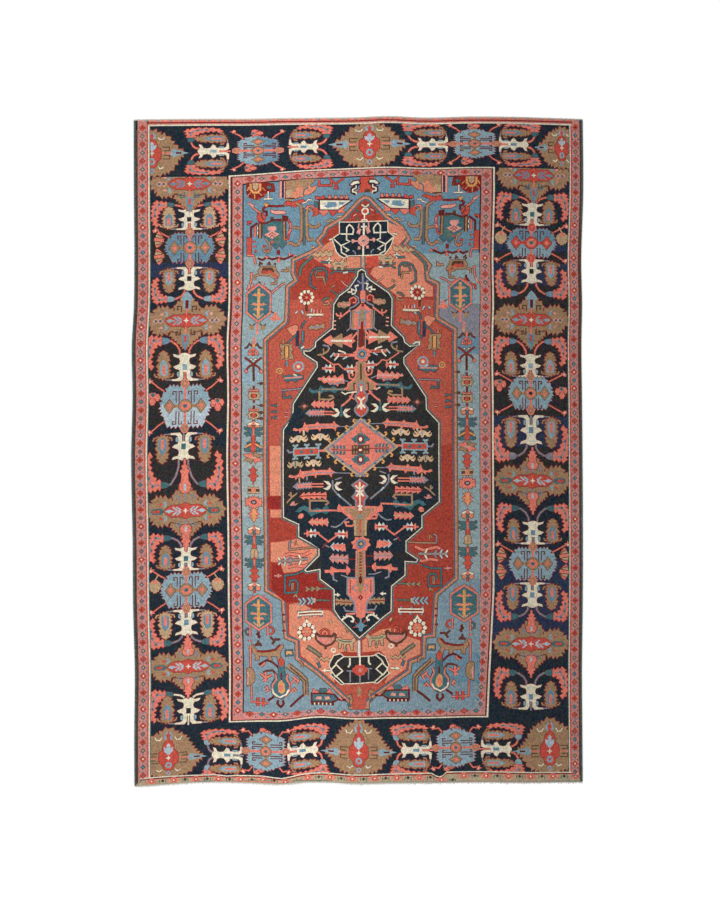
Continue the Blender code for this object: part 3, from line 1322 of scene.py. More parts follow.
# The figures stand on the field's left half, and the right half repeats them as a mirror image.
UPPER_CORNER = (
    # The vase in the corner.
    Figure(246, 182, (
        (DEEP_RED, 0, (0, 1, 42, 0, 42, 16, 34, 28, 20, 34, 6, 30, 0, 20)),
        (GOLD, 4.4, (2, 12, 4, 13), (5, 22, 6, 23), (15, 28, 17, 28), (27, 24, 28, 23), (34, 14, 35, 13)),
        (RED, 2.6, (2, 28, 3, 29), (9, 34, 11, 34), (24, 33, 26, 32), (35, 25, 36, 24)),
        (GOLD, 2.2, (8, 2, 8, 14, 13, 20, 22, 20, 27, 14, 27, 2)),
        (SAND, 0, (12, 1, 24, 1, 23, 12, 18, 16, 12, 12)),
        (DEEP_RED, 2.2, (42, 4, 52, 5, 54, 16, 40, 17)),
        (TEAL, 0, (41, 7, 49, 7, 49, 13, 41, 13)),
        (IVORY, 1.2, (43, 18, 43, 31)),
        (IVORY, 1.3, (35, 33, 52, 33)),
    )),
    # The striped post and the leaf beside it.
    Figure(280, 178, (
        (PINK, 2.2, (0, 6, 0, 40)),
        (INDIGO, 1.5, (4, 6, 4, 39)),
        (PINK, 1.2, (8, 6, 8, 40)),
        (CAMEL, 0, (10, 6, 40, 3, 72, 2, 62, 12, 54, 20, 44, 36, 36, 40, 10, 40)),
        (SAND, 0, (10, 24, 22, 24, 26, 39, 10, 39)),
        (BROWN, 0.9, (10, 6, 10, 40, 34, 40)),
        (SALMON, 0, (16, 37, 24, 33, 22, 28, 30, 27, 33, 20, 37, 12, 41, 19, 46, 20, 52, 22, 58, 15, 62, 20,
                     72, 15, 70, 24, 63, 30, 56, 34, 48, 34, 44, 39, 38, 37, 30, 42, 26, 38)),
        (TEAL, 1.3, (56, 20, 47, 24, 45, 36)),
        (CAMEL, 2, (10, 43, 24, 45)),
    )),
    # The red branch and its comb.
    Figure(246, 199, (
        (DEEP_RED, 1.3, (31, 19, 42, 13, 60, 14, 76, 13)),
        (RED, 0, (76, 8, 82, 4, 90, 7, 112, 1, 116, 5, 100, 11, 100, 16, 95, 16, 94, 12, 90, 16, 86, 12, 80,
         14)),
        (GOLD, 2, (35, 9, 42, 10, 38, 14)),
        (PINK, 0, (0, 5, 10, 8, 15, 11, 13, 16, 8, 13),
         (49, 20, 54, 23, 68, 23, 78, 25, 78, 29, 61, 30, 54, 28, 49, 26)),
        (CORAL, 1.4, (12, 15, 21, 23, 27, 26, 30, 34)),
        (MAROON, 1.4, (32, 19, 35, 24, 40, 25, 40, 34)),
        (BROWN, 2.2, (51, 35, 51, 44)),
        (RED, 0, (22, 28, 32, 27, 38, 36, 35, 46, 26, 47, 21, 38)),
        (BROWN, 1.3, (30, 25, 30, 34, 35, 41)),
    )),
    # The pot under its canopy.
    Figure(257, 215, (
        (TEAL, 0, (10, 16, 32, 11, 52, 14, 51, 42, 58, 56, 50, 66, 44, 60, 38, 67, 30, 60, 20, 50, 10, 38)),
        (GREEN, 0, (32, 38, 48, 42, 46, 58, 34, 56)),
        (BROWN, 3.4, (5, 16, 5, 46), (53, 10, 54, 50)),
        (CAMEL, 1.5, (5, 16, 5, 46), (53, 10, 54, 50)),
        (MAROON, 1.4, (2, 14, 14, 17, 32, 10, 48, 9)),
        (MAROON, 0, (50, 1, 60, 3, 61, 11, 50, 13)),
        (PINK, 0, (21, 22, 37, 22, 38, 28, 33, 33, 25, 33, 20, 28),
         (29, 32, 45, 37, 38, 41, 30, 47, 22, 43, 13, 38)),
        (DEEP_RED, 0.8, (22, 40, 29, 34, 37, 40), (25, 44, 29, 39, 34, 44)),
        (RED, 0, (27, 51, 32, 51, 32, 56, 27, 56)),
        (RED, 1.5, (61, 9, 66, 18, 65, 32, 61, 47, 55, 50)),
        (CORAL, 1.8, (66, 16, 66, 25), (67, 29, 62, 36)),
        (CAMEL, 1.5, (15, 46, 23, 55, 26, 67, 21, 74, 13, 71, 13, 64)),
        (RED, 1.1, (18, 68, 21, 70, 18, 72)),
        (RED, 1.2, (10, 62, 18, 61)),
        (DEEP_RED, 2.2, (42, 69, 42, 79)),
        (CORAL, 2.2, (44, 82, 42, 94)),
        (MAROON, 1.1, (0, 85, 10, 89, 18, 84, 30, 88, 42, 85, 54, 88, 64, 84, 72, 81)),
        (CORAL, 1.8, (64, 76, 65, 81)),
        (CORAL, 1.6, (72, 83, 77, 80), (15, 81, 21, 85)),
    )),
    # The red post by the edge and its row of dots.
    Figure(246, 221, (
        (RED, 0, (1, 32, 10, 32, 10, 66, 1, 68)),
        (MAROON, 1.2, (2, 6, 10, 1, 11, 2)),
        (MAROON, 1.3, (9, 32, 9, 12, 22, 3)),
        (RED, 1.5, (3, 7, 3, 1, 11, 1)),
        (CORAL, 1.5, (17, 10, 17, 31)),
        (IVORY, 0.9, (22, 10, 22, 16), (22, 20, 22, 26)),
        (RED, 2, (15, 38, 15, 42), (17, 48, 17, 52), (16, 59, 21, 60)),
        (CORAL, 1.4, (1, 68, 14, 68, 17, 76, 18, 86)),
    )),
    # The lion-like flower, its hooks and the small tree over the hexagon.
    Figure(246, 262, (
        (CAMEL, 0, (28, 8, 58, 8, 60, 16, 66, 24, 64, 29, 56, 25, 44, 27, 28, 26, 23, 18)),
        (BROWN, 0, (32, 10, 52, 10, 56, 18, 50, 22, 30, 22)),
        (RED, 0, (32, 18, 36, 15, 40, 18, 45, 15, 50, 17, 58, 24, 64, 33, 56, 28, 50, 22, 32, 23)),
        (BROWN, 1, (26, 7, 27, 0, 32, 4), (42, 5, 46, 0, 48, 6), (56, 5, 59, 1)),
        (CAMEL, 1.6, (26, 24, 17, 27, 17, 36), (48, 27, 59, 31, 59, 42, 48, 43)),
        (CAMEL, 1.9, (70, 16, 76, 17, 83, 17, 83, 9)),
        (CORAL, 1.4, (10, 22, 9, 38, 6, 46, 1, 56)),
        (CORAL, 1.2, (6, 23, 14, 22)),
        (PINK, 2, (5, 44, 5, 52)),
        (MAROON, 1.3, (26, 38, 27, 62)),
        (MAROON, 0, (26, 41, 33, 51, 19, 51)),
        (RED, 1.3, (8, 68, 8, 59, 17, 56, 18, 63, 13, 64), (38, 66, 38, 53, 47, 57, 45, 65)),
        (ROSE, 1.4, (48, 63, 60, 53, 70, 45, 79, 42)),
    )),
)
UPPER_MIDDLE = (
    # Brackets that hang from the inner frame.
    Figure(318, 178, (
        (RED, 1.8, (1, 4, 1, 16, 25, 16, 25, 7)),
        (RED, 1.4, (21, 1, 27, 7, 35, 14, 35, 20), (51, 2, 41, 7, 35, 14)),
        (RED, 0, (32, 18, 38, 18, 39, 23, 31, 23)),
        (NAVY, 0, (61, 15, 69, 7, 80, 5, 84, 12, 79, 17, 70, 18)),
        (IVORY, 0, (63, 14, 70, 8, 80, 7, 82, 12, 73, 13, 67, 16)),
        (NAVY, 2.6, (75, 16, 75, 21, 67, 23, 67, 29, 74, 33)),
        (IVORY, 1.3, (75, 16, 75, 21, 68, 24, 68, 29, 75, 30, 76, 34)),
    )),
    # The boat-shaped panel with combs above and below.
    Figure(301, 196, (
        (MAROON, 1.1, (30, 7, 95, 7)),
        (RED, 0, (28, 2, 34, 2, 36, 6, 42, 1, 45, 1, 45, 7, 28, 7)),
        (CORAL, 0, (54, 0, 58, 0, 59, 6, 53, 6), (66, 0, 70, 0, 71, 6, 65, 6), (78, 0, 82, 0, 83, 6, 77, 6),
         (88, 0, 92, 0, 93, 6, 87, 6)),
        (NAVY, 0, (35, 9, 103, 9, 74, 30, 35, 30)),
        (IVORY, 0, (37, 10, 98, 10, 72, 28, 37, 28)),
        (MID_BLUE, 0, (45, 16, 50, 13, 69, 13, 71, 22, 52, 25, 41, 20), (75, 13, 89, 13, 80, 19, 75, 18)),
        (IVORY, 1.2, (40, 21, 49, 18, 51, 13)),
        (CORAL, 0, (35, 30, 54, 30, 50, 37, 43, 41, 40, 37, 37, 35)),
        (RED, 0, (55, 30, 72, 30, 68, 36, 63, 41, 58, 36),
         (26, 22, 33, 25, 34, 38, 26, 40, 20, 44, 25, 35, 22, 28)),
        (CORAL, 0, (74, 29, 90, 19, 83, 29, 88, 34, 80, 34, 73, 35)),
        (TEAL, 0, (26, 12, 33, 14, 33, 25, 26, 25)),
        (IVORY, 1, (1, 15, 9, 13, 13, 8, 20, 9)),
        (SAND, 1.1, (48, 51, 55, 53, 58, 48, 65, 51)),
        (SAND, 1.7, (72, 43, 80, 41)),
    )),
    # The palm with hooked branches.
    Figure(287, 203, (
        (CAMEL, 2.3, (17, 0, 27, 7, 28, 22, 28, 70, 23, 82, 16, 86), (48, 17, 40, 11, 38, 22, 39, 66, 43, 75,
         53, 74)),
        (TEAL, 2, (34, 10, 34, 86)),
        (BROWN, 0.8, (31, 12, 31, 78)),
        (CORAL, 1.3, (36, 13, 40, 8, 49, 7, 52, 10)),
        (CAMEL, 2.2, (42, 43, 48, 49, 60, 49, 64, 45, 62, 41), (26, 52, 16, 49, 10, 50)),
        (CAMEL, 2, (0, 82, 8, 79, 13, 85, 21, 83)),
        (SAND, 1.8, (48, 90, 54, 89)),
    )),
)


LOWER_CORNER = (
    # Under the hexagon.
    Figure(245, 613, (
        (MAROON, 1.5, (26, 35, 26, 40, 24, 42, 28, 46, 26, 50)),
        (CORAL, 1.5, (9, 22, 9, 48)),
        (TEAL, 1.3, (6, 30, 0, 35, 1, 42, 7, 44)),
        (CORAL, 2.1, (8, 53, 8, 58)),
        (CORAL, 1.6, (45, 22, 45, 44)),
        (RED, 1.3, (48, 25, 55, 29, 57, 35, 50, 42)),
        (BROWN, 1.3, (49, 46, 58, 54, 53, 61)),
        (BROWN, 1.2, (58, 51, 70, 51)),
        (DEEP_RED, 2, (77, 0, 77, 4), (77, 14, 77, 18), (77, 32, 77, 36)),
    )),
    # The long camel-coloured beast.
    Figure(248, 640, (
        (BROWN, 1.3, (19, 0, 19, 12)),
        (BROWN, 1.2, (12, 12, 17, 7, 23, 7, 25, 12)),
        (CAMEL, 0, (7, 12, 14, 17, 20, 23, 42, 22, 54, 19, 61, 10, 67, 7, 70, 12, 65, 19, 62, 26, 65, 38, 58,
         39, 56, 30, 44, 31, 47, 38, 41, 39, 36, 31, 21, 31, 20, 39, 13, 40, 13, 30, 7, 24)),
        (DEEP_RED, 1.7, (16, 22, 28, 23, 42, 21, 54, 18, 63, 8)),
        (CAMEL, 1.5, (1, 20, 6, 14, 8, 7)),
        (CORAL, 1.4, (3, 10, 3, 56)),
        (TEAL, 0, (73, 19, 88, 19, 89, 31, 73, 31)),
        (GOLD, 0, (75, 21, 86, 22, 87, 29, 80, 26, 75, 29)),
        (CORAL, 1.7, (24, 52, 30, 47, 32, 43)),
        (MAROON, 1, (19, 49, 36, 39, 48, 43, 63, 57, 67, 64)),
    )),
    # The face by the edge, with its red line and crosses.
    Figure(245, 667, (
        (CAMEL, 0, (1, 4, 8, 1, 15, 6, 18, 16, 17, 28, 11, 36, 2, 39)),
        (PINK, 1.3, (3, 10, 5, 16, 3, 35)),
        (CORAL, 1.3, (11, 38, 12, 70, 46, 71)),
        (MAROON, 1.2, (44, 66, 51, 61, 57, 57)),
        (RED, 2.3, (24, 60, 24, 78), (35, 60, 35, 78)),
    )),
    # The sprig and the pot.
    Figure(259, 656, (
        (CORAL, 1.6, (1, 34, 8, 40, 14, 48), (24, 36, 15, 41, 6, 49)),
        (CORAL, 1.8, (11, 30, 12, 41, 11, 51)),
        (BROWN, 1.1, (6, 32, 16, 28, 26, 27, 33, 36)),
        (TEAL, 0, (37, 14, 49, 13, 50, 32, 58, 46, 61, 62, 54, 78, 44, 84, 34, 81, 24, 72, 22, 56, 28, 46, 37,
         32)),
        (MAROON, 1.7, (43, 32, 43, 50)),
        (RED, 0, (37, 8, 43, 1, 49, 9, 46, 19, 40, 19)),
        (CORAL, 1.4, (31, 34, 33, 46, 25, 56, 25, 68, 34, 79), (57, 34, 53, 44, 60, 56, 60, 68, 51, 79)),
        (IVORY, 1.6, (25, 64, 27, 73, 40, 81, 53, 75, 58, 66)),
        (GOLD, 0, (36, 52, 43, 46, 49, 54, 51, 68, 45, 74, 37, 70)),
        (CORAL, 0, (38, 56, 45, 54, 47, 64, 42, 69, 37, 64)),
        (MAROON, 1.3, (37, 86, 35, 93, 42, 100, 48, 94, 46, 86)),
        (ROSE, 1.7, (10, 65, 14, 61, 17, 67, 11, 70)),
    )),
    # The striped poles beside the pot.
    Figure(286, 661, (
        (GREEN, 5, (1, 7, 26, 28, 37, 41, 38, 72)),
        (CAMEL, 3.6, (1, 7, 26, 28, 37, 41, 38, 72)),
        (BROWN, 1.3, (6, 11, 27, 31, 38, 43, 38, 70)),
        (CORAL, 1.6, (9, 44, 17, 36, 23, 40, 19, 47)),
        (CORAL, 1.5, (12, 31, 19, 37), (9, 62, 15, 55, 19, 61)),
        (MAROON, 1.3, (7, 91, 22, 78, 35, 69)),
        (CAMEL, 1.7, (24, 1, 31, 7, 30, 15)),
    )),
    # The little house with a fringe below.
    Figure(310, 690, (
        (TEAL, 0, (16, 9, 19, 1, 31, 1, 35, 9)),
        (CORAL, 0, (3, 9, 5, 0, 9, 5, 15, 6, 16, 10), (32, 9, 37, 1, 41, 5, 47, 10)),
        (MAROON, 0, (1, 9, 47, 10, 57, 20, 42, 29, 1, 29)),
        (TEAL, 0, (4, 12, 46, 13, 53, 20, 41, 26, 4, 26)),
        (PINK, 0, (9, 22, 13, 17, 22, 17, 22, 23), (28, 17, 36, 16, 40, 21, 29, 23)),
        (MAROON, 1.5, (4, 28, 4, 34), (12, 28, 12, 34), (20, 28, 20, 34), (28, 28, 28, 34), (36, 28, 36, 34),
         (44, 28, 44, 34)),
        (IVORY, 1.2, (8, 29, 8, 33), (16, 29, 16, 33), (24, 29, 24, 33), (32, 29, 32, 33), (40, 29, 40, 33)),
        (MAROON, 1.2, (56, 21, 71, 20)),
        (CORAL, 1.7, (59, 17, 63, 20)),
        (CAMEL, 2.2, (73, 14, 79, 11, 82, 18, 80, 27)),
        (TEAL, 1.7, (74, 27, 82, 32)),
    )),
)
RED_FIELD_TOP = (
    Figure(295, 257, (
        (GREEN, 2.6, (9, 38, 11, 22, 24, 9, 36, 0)),
        (TEAL, 1.6, (42, 66, 30, 58, 30, 40, 36, 27, 46, 23, 56, 23, 63, 31, 63, 50)),
        (GREEN, 1.5, (40, 40, 43, 29, 56, 29), (71, 67, 78, 73, 86, 77)),
        (CAMEL, 1.5, (42, 42, 56, 42, 60, 56), (72, 62, 79, 58)),
        (BROWN, 1.3, (22, 90, 23, 110)),
        (GREEN, 1.6, (54, 91, 60, 84, 69, 83)),
        (CAMEL, 1.6, (56, 97, 65, 97, 70, 91)),
        (SALMON, 1.7, (60, 91, 67, 90)),
        (CORAL, 1.8, (38, 107, 38, 114), (45, 107, 45, 114), (52, 107, 52, 114)),
        (PALE_BLUE, 1.6, (17, 115, 13, 108), (33, 112, 33, 105), (33, 121, 29, 123), (1, 113, 5, 109)),
        (CAMEL, 3.2, (21, 117, 57, 117)),
        (IVORY, 1.5, (24, 117, 56, 117)),
        (CAMEL, 0, (27, 143, 34, 137, 38, 140, 46, 135, 51, 139, 60, 133, 61, 146, 52, 144, 44, 149, 38, 145,
         31, 148)),
        (GREY, 1.7, (33, 143, 56, 141)),
    )),
    # Blossoms over the medallion's peak.
    Figure(320, 210, (
        (SALMON, 0, (54, 95, 81, 95, 81, 117, 54, 117)),
        (GREEN, 1.5, (20, 119, 82, 119)),
        (SAND, 0, (22, 108, 28, 106, 31, 101, 35, 106, 41, 104, 45, 100, 49, 105, 54, 103, 54, 112, 48, 114,
                   46, 121, 42, 121, 41, 115, 34, 115, 32, 121, 28, 121, 27, 114)),
        (TEAL, 1.2, (30, 109, 42, 109)),
        (GOLD, 1.2, (30, 112, 40, 112)),
        (SAND, 0, (-18, 92, -9, 85, -5, 90, 0, 82, 6, 88, 12, 81, 16, 87, 26, 82, 25, 92, 17, 95, 12, 91, 6,
                   97, 0, 92, -5, 97, -10, 93)),
        (IVORY, 1.3, (11, 102, 24, 102), (18, 96, 18, 108)),
        (SAND, 1.6, (44, 104, 49, 96, 48, 89)),
        (TEAL, 1.3, (20, 129, 30, 123, 48, 125, 60, 123, 75, 126)),
        (TEAL, 1.7, (1, 105, 14, 107, 19, 102)),
        (IVORY, 1.5, (46, 127, 56, 125)),
        (IVORY, 1.6, (18, 61, 26, 59)),
        (PINK, 1, (43, 143, 49, 150, 58, 155)),
        (TEAL, 2, (74, 0, 74, 6), (74, 16, 74, 21)),
        (TEAL, 1.8, (59, 14, 59, 18)),
        (PINK, 1.4, (66, 13, 72, 9)),
    )),
)
RED_FIELD_MIDDLE = (
    Figure(287, 321, (
        (SALMON, 0, (0, 14, 18, 8, 24, 12, 22, 24, 14, 30, 8, 24)),
        (TEAL, 1.5, (39, 0, 32, 8, 30, 17)),
        (INDIGO, 2.5, (23, 20, 23, 51)),
        (TEAL, 2.4, (34, 20, 34, 44)),
        (MID_BLUE, 0.8, (33, 22, 33, 40)),
        (TEAL, 1.4, (1, 47, 12, 36, 21, 28), (34, 44, 26, 55)),
    )),
    # The gold flower on its cross.
    Figure(281, 339, (
        (CAMEL, 0, (1, 8, 6, 11, 14, 9, 22, 11, 27, 8, 24, 16, 27, 22, 23, 27, 27, 34, 28, 42, 20, 39, 14, 43,
         7, 38, 0, 42, 4, 33, 1, 27, 5, 22, 0, 15)),
        (BROWN, 0, (9, 13, 19, 13, 19, 38, 9, 38)),
        (GOLD, 0, (11, 14, 17, 14, 17, 37, 11, 37)),
        (CAMEL, 2, (7, 7, 7, 1)),
        (MID_BLUE, 2, (14, 44, 14, 54)),
    )),
    # The toothed band and the hooked line.
    Figure(271, 374, (
        (TEAL, 0, (24, 0, 32, 4, 38, 1, 46, 4, 54, 0, 66, 5, 66, 11, 56, 12, 50, 17, 42, 12, 34, 16, 29, 11)),
        (ROSE, 1.7, (28, 8, 64, 7)),
        (IVORY, 1.5, (47, 1, 53, 4)),
        (GREY, 1.3, (22, 32, 65, 30)),
        (TEAL, 1.6, (27, 33, 27, 47, 41, 47, 38, 41)),
        (TEAL, 1, (0, 62, 10, 62), (0, 74, 10, 74), (0, 86, 10, 86)),
        (TEAL, 2.3, (8, 62, 14, 62), (8, 74, 14, 74), (8, 86, 14, 86)),
        (ROSE, 1.2, (29, 76, 36, 76), (29, 85, 36, 85)),
    )),
)
RED_FIELD_LOWER = (
    Figure(286, 540, (
        (GREY, 1.5, (35, 18, 8, 19, 7, 5, 13, 1)),
        (CAMEL, 1.4, (8, 19, 48, 18, 64, 17), (16, 8, 21, 2, 21, 11)),
        (CORAL, 2.6, (0, 30, 8, 27, 34, 33, 50, 26)),
        (CORAL, 2.4, (4, 54, 20, 51, 36, 55, 48, 50)),
    )),
    # The bar with ivory and blue tufts.
    Figure(278, 555, (
        (IVORY, 1.7, (1, 4, 6, 11, 1, 18), (42, 1, 47, 11, 42, 21)),
        (PALE_BLUE, 1.7, (12, 2, 17, 11, 12, 20)),
        (GREY, 1.7, (23, 3, 28, 11, 23, 19)),
        (GREY, 2.4, (2, 11, 60, 10)),
        (CAMEL, 1, (8, 11, 56, 10)),
    )),
    # The frame with its hook.
    Figure(274, 571, (
        (TEAL, 1.6, (62, 0, 44, 7, 22, 8, 22, 43, 47, 43, 48, 26, 43, 18, 33, 19, 30, 30)),
        (CAMEL, 2.4, (37, 24, 37, 38)),
        (GREEN, 1, (37, 25, 37, 37)),
        (ROSE, 1.6, (1, 8, 16, 8)),
        (ROSE, 1.5, (9, 4, 9, 12)),
        (GREEN, 1.5, (64, 39, 114, 38)),
        (CAMEL, 1.7, (64, 35, 69, 39, 64, 43), (75, 35, 80, 39, 75, 43), (85, 35, 90, 39, 85, 43),
         (39, 52, 44, 47, 46, 53)),
    )),
)
RED_FIELD_ARROWS = (
    Figure(274, 570.4, (
        (GREEN, 1.4, (78, 63, 111, 63)),
        (LIGHT_BLUE, 1.8, (49, 57, 55, 64, 49, 71), (57, 57, 63, 64, 57, 71), (67, 57, 73, 64, 67, 71),
         (74, 57, 80, 64, 74, 71)),
        (SAND, 2, (81, 59, 81, 68)),
    )),
)
RED_FIELD_BOTTOM = (
    # The ladder with tufts.
    Figure(297, 610, (
        (GREY, 2.2, (3, 1, 5, 18), (25, 1, 27, 18), (46, 1, 48, 18)),
        (IVORY, 4.4, (1, 9, 52, 9)),
        (DEEP_RED, 1.5, (3, 9, 49, 9)),
        (GREEN, 1.5, (19, 19, 19, 28)),
        (GREEN, 3.4, (19, 76, 32, 85, 47, 96)),
        (CAMEL, 1.2, (21, 78, 32, 85, 45, 95)),
        (SAND, 1.5, (38, 98, 43, 104, 48, 99, 53, 105, 58, 100, 63, 105, 67, 101)),
        (SAND, 0, (78, 58, 86, 56, 90, 60, 108, 60, 113, 54, 118, 60, 112, 66, 111, 80, 107, 80, 105, 68,
                   98, 68, 98, 82, 94, 82, 92, 68, 88, 68, 86, 78, 82, 78, 83, 66, 76, 62)),
        (GREEN, 1.3, (82, 61, 92, 64, 108, 63), (96, 70, 96, 80)),
        (BROWN, 0, (34, 51, 38, 48, 44, 54, 68, 54, 73, 48, 78, 51, 77, 62, 69, 72, 56, 77, 45, 72, 36, 62)),
        (ROSE, 0, (38, 54, 43, 58, 70, 58, 74, 54, 74, 62, 67, 69, 56, 73, 47, 69, 39, 62)),
        (CORAL, 1.5, (44, 62, 52, 66, 60, 66, 68, 61)),
        (RED, 1.4, (47, 54, 47, 46, 55, 41, 63, 45, 64, 53), (55, 54, 55, 47)),
        (BROWN, 1.4, (56, 77, 56, 82)),
        (IVORY, 1.5, (50, 125, 68, 124)),
        (IVORY, 2.6, (54, 122, 55, 127)),
        (TEAL, 2.2, (40, 108, 45, 120)),
        (SAND, 2.2, (65, 24, 69, 30)),
        (CAMEL, 1.4, (95, 36, 101, 40, 99, 46)),
        (IVORY, 1.3, (96, 22, 104, 27, 107, 33)),
    )),
)


class Bloom(Enum):
    """The kinds of bloom in the two strips of flowers beside the red field."""

    CUP = auto()
    HORNS = auto()
    FERN = auto()
    CONE = auto()
    STAR = auto()
    FINIAL = auto()
    BAR = auto()
    CROSS = auto()
    TREE = auto()
    TENDRIL = auto()
    LEAF = auto()


class BloomRow(NamedTuple):
    """A bloom's place on the left strip and on the right one."""

    bloom: Bloom
    left: float
    right: float


@dataclass(frozen=True)
class FlowerStrip:
    """The flowers above one another on a strip of the blue ground, with a hexagon at each end.

    Attributes:
        left: the left strip's stem line.
        right: the right strip's.
        rows: the blooms from the top.
    """

    left: float = 254.6
    right: float = 467.6
    rows: tuple[BloomRow, ...] = (
        BloomRow(Bloom.TENDRIL, 357, 348),
        BloomRow(Bloom.CUP, 395.5, 383.5),
        BloomRow(Bloom.CUP, 415, 400),
        BloomRow(Bloom.HORNS, 425, 411.5),
        BloomRow(Bloom.FERN, 432.6, 424.6),
        BloomRow(Bloom.CONE, 446, 436),
        BloomRow(Bloom.STAR, 457.4, 448),
        BloomRow(Bloom.FINIAL, 475, 462.6),
        BloomRow(Bloom.BAR, 490, 473.6),
        BloomRow(Bloom.CROSS, 502, 484.4),
        BloomRow(Bloom.TREE, 514.6, 500),
        BloomRow(Bloom.HORNS, 529.6, 515),
        BloomRow(Bloom.FERN, 541, 528),
        BloomRow(Bloom.LEAF, 553, 540.6),
        BloomRow(Bloom.FERN, 564, 554),
        BloomRow(Bloom.FINIAL, 575.6, 564),
        BloomRow(Bloom.HORNS, 586, 576),
    )

    def draw(self, paper: Stencil) -> None:
        """Draws both strips with their hexagons.

        Args:
            paper: the stencil to draw on.
        """
        for x, side in ((self.left, "left"), (self.right, "right")):
            for row in self.rows:
                for sheet in paper.at(x, getattr(row, side)).twice(BROWN):
                    self.draw_bloom(sheet, row.bloom)
        for x, y, wide, high in ((258.3, 302.6, 12.6, 20), (460.4, 296, 11.6, 17.6),
                                 (258.4, 612.4, 13.4, 18.4), (464, 604.4, 14.4, 19)):
            self.draw_hexagon(paper.at(x, y), wide, high)
        for x, y, x2, y2, way in ((258, 323, 255.4, 336.6, 1), (460.6, 312, 464.6, 322.6, -1)):
            paper.line([(x, y), (x, y + 11)], 2.3, CORAL)
            paper.line([(x2, y2), (x2, y2 + 7)], 2.2, CORAL)
            paper.line([(x2, y2 + 7), (x2, y2 + 10)], 2.2, GOLD)
            for side in (-1, 1):
                leaf = paper.at(x, y, across=side)
                leaf.line([(2, 0), (5, 2.6), (8.6, 1)], 1.4, BROWN)
                leaf.fill([(3, 3.4), (6, 1.4), (9, 3.6), (7, 6.4), (3.6, 6.6)], CAMEL)
            spray = paper.at(x + way * 17, y - 8, across=way)
            spray.line([(-4, -4), (-1, -2), (1, 2)], 1.3, MAROON)
            spray.fill([(-5, 2), (-1.6, 0.4), (-0.6, -3), (2, -3), (2.4, 1), (6.6, 3), (3.6, 5.4), (2, 4),
                        (-0.4, 6), (-3.6, 4.6)], CORAL)
        for x, y in ((262, 383), (262, 405), (262, 412), (262, 418), (459, 373), (459, 394), (459, 406)):
            paper.disc(x, y, 2.4, 1.8, 6, BROWN)
            paper.line([(x - 4.4, y), (x, y)], 1, BROWN)

    def draw_hexagon(self, spot: Stencil, wide: float, high: float) -> None:
        """Draws a hexagon with a gold tree inside.

        Args:
            spot: the stencil to draw on.
            wide: half its width, in knots.
            high: half its height, in knots.
        """

        def hexagon(inset: float) -> list[Point]:
            """The hexagon's corners, drawn in by that much."""
            a, b = wide - inset, high - inset * 1.4
            return [(0, -b), (a, -b * 0.5), (a, b * 0.52), (0, b), (-a, b * 0.52), (-a, -b * 0.5)]

        for inset, dye in ((-0.6, TEAL), (0, CORAL), (1.6, TEAL)):
            spot.fill(hexagon(inset), dye)
        for way in (-1, 1):
            arm = spot.at(across=way)
            for y, reach in ((-high * 0.42, 0.55), (high * 0.05, 0.68), (high * 0.3, 0.45)):
                arm.fill([(0, y), (wide * reach * 0.6, y - 1.4), (wide * reach, y + 0.8),
                          (wide * reach * 0.6, y + 1.2), (0, y + 2)], SALMON)
            arm.line([(0, high * 0.78), (wide * 0.4, high * 0.52)], 1.3, SAND)
            arm.line([(wide * 0.75, -high * 0.72), (wide * 0.4, -high * 0.84),
                      (wide * 0.45, -high)], 1.2, RED)
        spot.fill([(-1.3, -high * 0.72), (1.3, -high * 0.72), (1.5, high * 0.7), (-1.5, high * 0.7)], GOLD)

    def draw_bloom(self, spot: Stencil, bloom: Bloom) -> None:
        """Draws one bloom around its middle.

        Args:
            spot: the stencil to draw on.
            bloom: which one.
        """
        match bloom:
            case Bloom.CUP:
                spot.line([(0, -10), (0, 7)], 1.4, DEEP_RED)
                spot.fill(mirrored([(0, -4), (2, -3.4), (5, -4), (4.4, -1.6), (7, -0.6), (4.8, 1),
                                    (4.6, 3.6), (2, 2.8), (0, 4.4)]), SAND)
                spot.fill(mirrored([(0, -2.6), (3.4, -1.4), (3.4, 1.2), (0, 2.6)]), BROWN)
                spot.fill(mirrored([(0, -3.4), (1.8, -1), (2.4, 1), (0, 2)]), RED)
                for half in spot.sides():
                    half.line([(0, -5.6), (3.4, -5), (4.6, -7.4)], 1.3, CORAL)
            case Bloom.HORNS:
                spot.line([(0, 2), (0, 7)], 1.6, RED)
                for half in spot.sides():
                    half.disc(3.7, 1.8, 2.4, 2.6, 7, SALMON)
                    half.fill([(0, -4), (2.6, -2.6), (5, -2), (6.6, -0.4), (4.4, -0.2), (1.6, -1)], IVORY)
                spot.fill([(0, -4.6), (1.8, -2), (1.2, 0), (-1.2, 0), (-1.8, -2)], CORAL)
                spot.disc(0, 2, 1.5, 2, 6, TEAL)
            case Bloom.FERN:
                for half in spot.sides():
                    half.fill([(0.8, -3.6), (3, -5.2), (7, -5), (8.8, -6), (9.4, -4), (7, -2.6), (5, -2.8),
                               (4.8, -1), (8, -0.6), (9.6, 1.2), (6.4, 1.6), (7, 3.6), (4, 2.6),
                               (0.8, 4)], TEAL)
                spot.fill(mirrored([(0, -7), (1.4, -5), (1, 0), (1.7, 4), (2.2, 7), (0, 9)]), RED)
                spot.line([(0, -4), (0, 2)], 1.2, CORAL)
            case Bloom.CONE:
                for half in spot.sides():
                    half.fill([(2, 0), (5, 1.6), (8.6, 2.4), (8, 5), (4.6, 5.4), (2, 4)], TEAL)
                    half.line([(2, -2.4), (8, 1)], 1.7, GOLD)
                    half.line([(2.6, -4.6), (6.8, -2.4)], 1, TEAL)
                spot.fill(mirrored([(0, -8.6), (1.4, -6), (2.4, 0), (2.2, 4), (0, 6)]), RED)
            case Bloom.STAR:
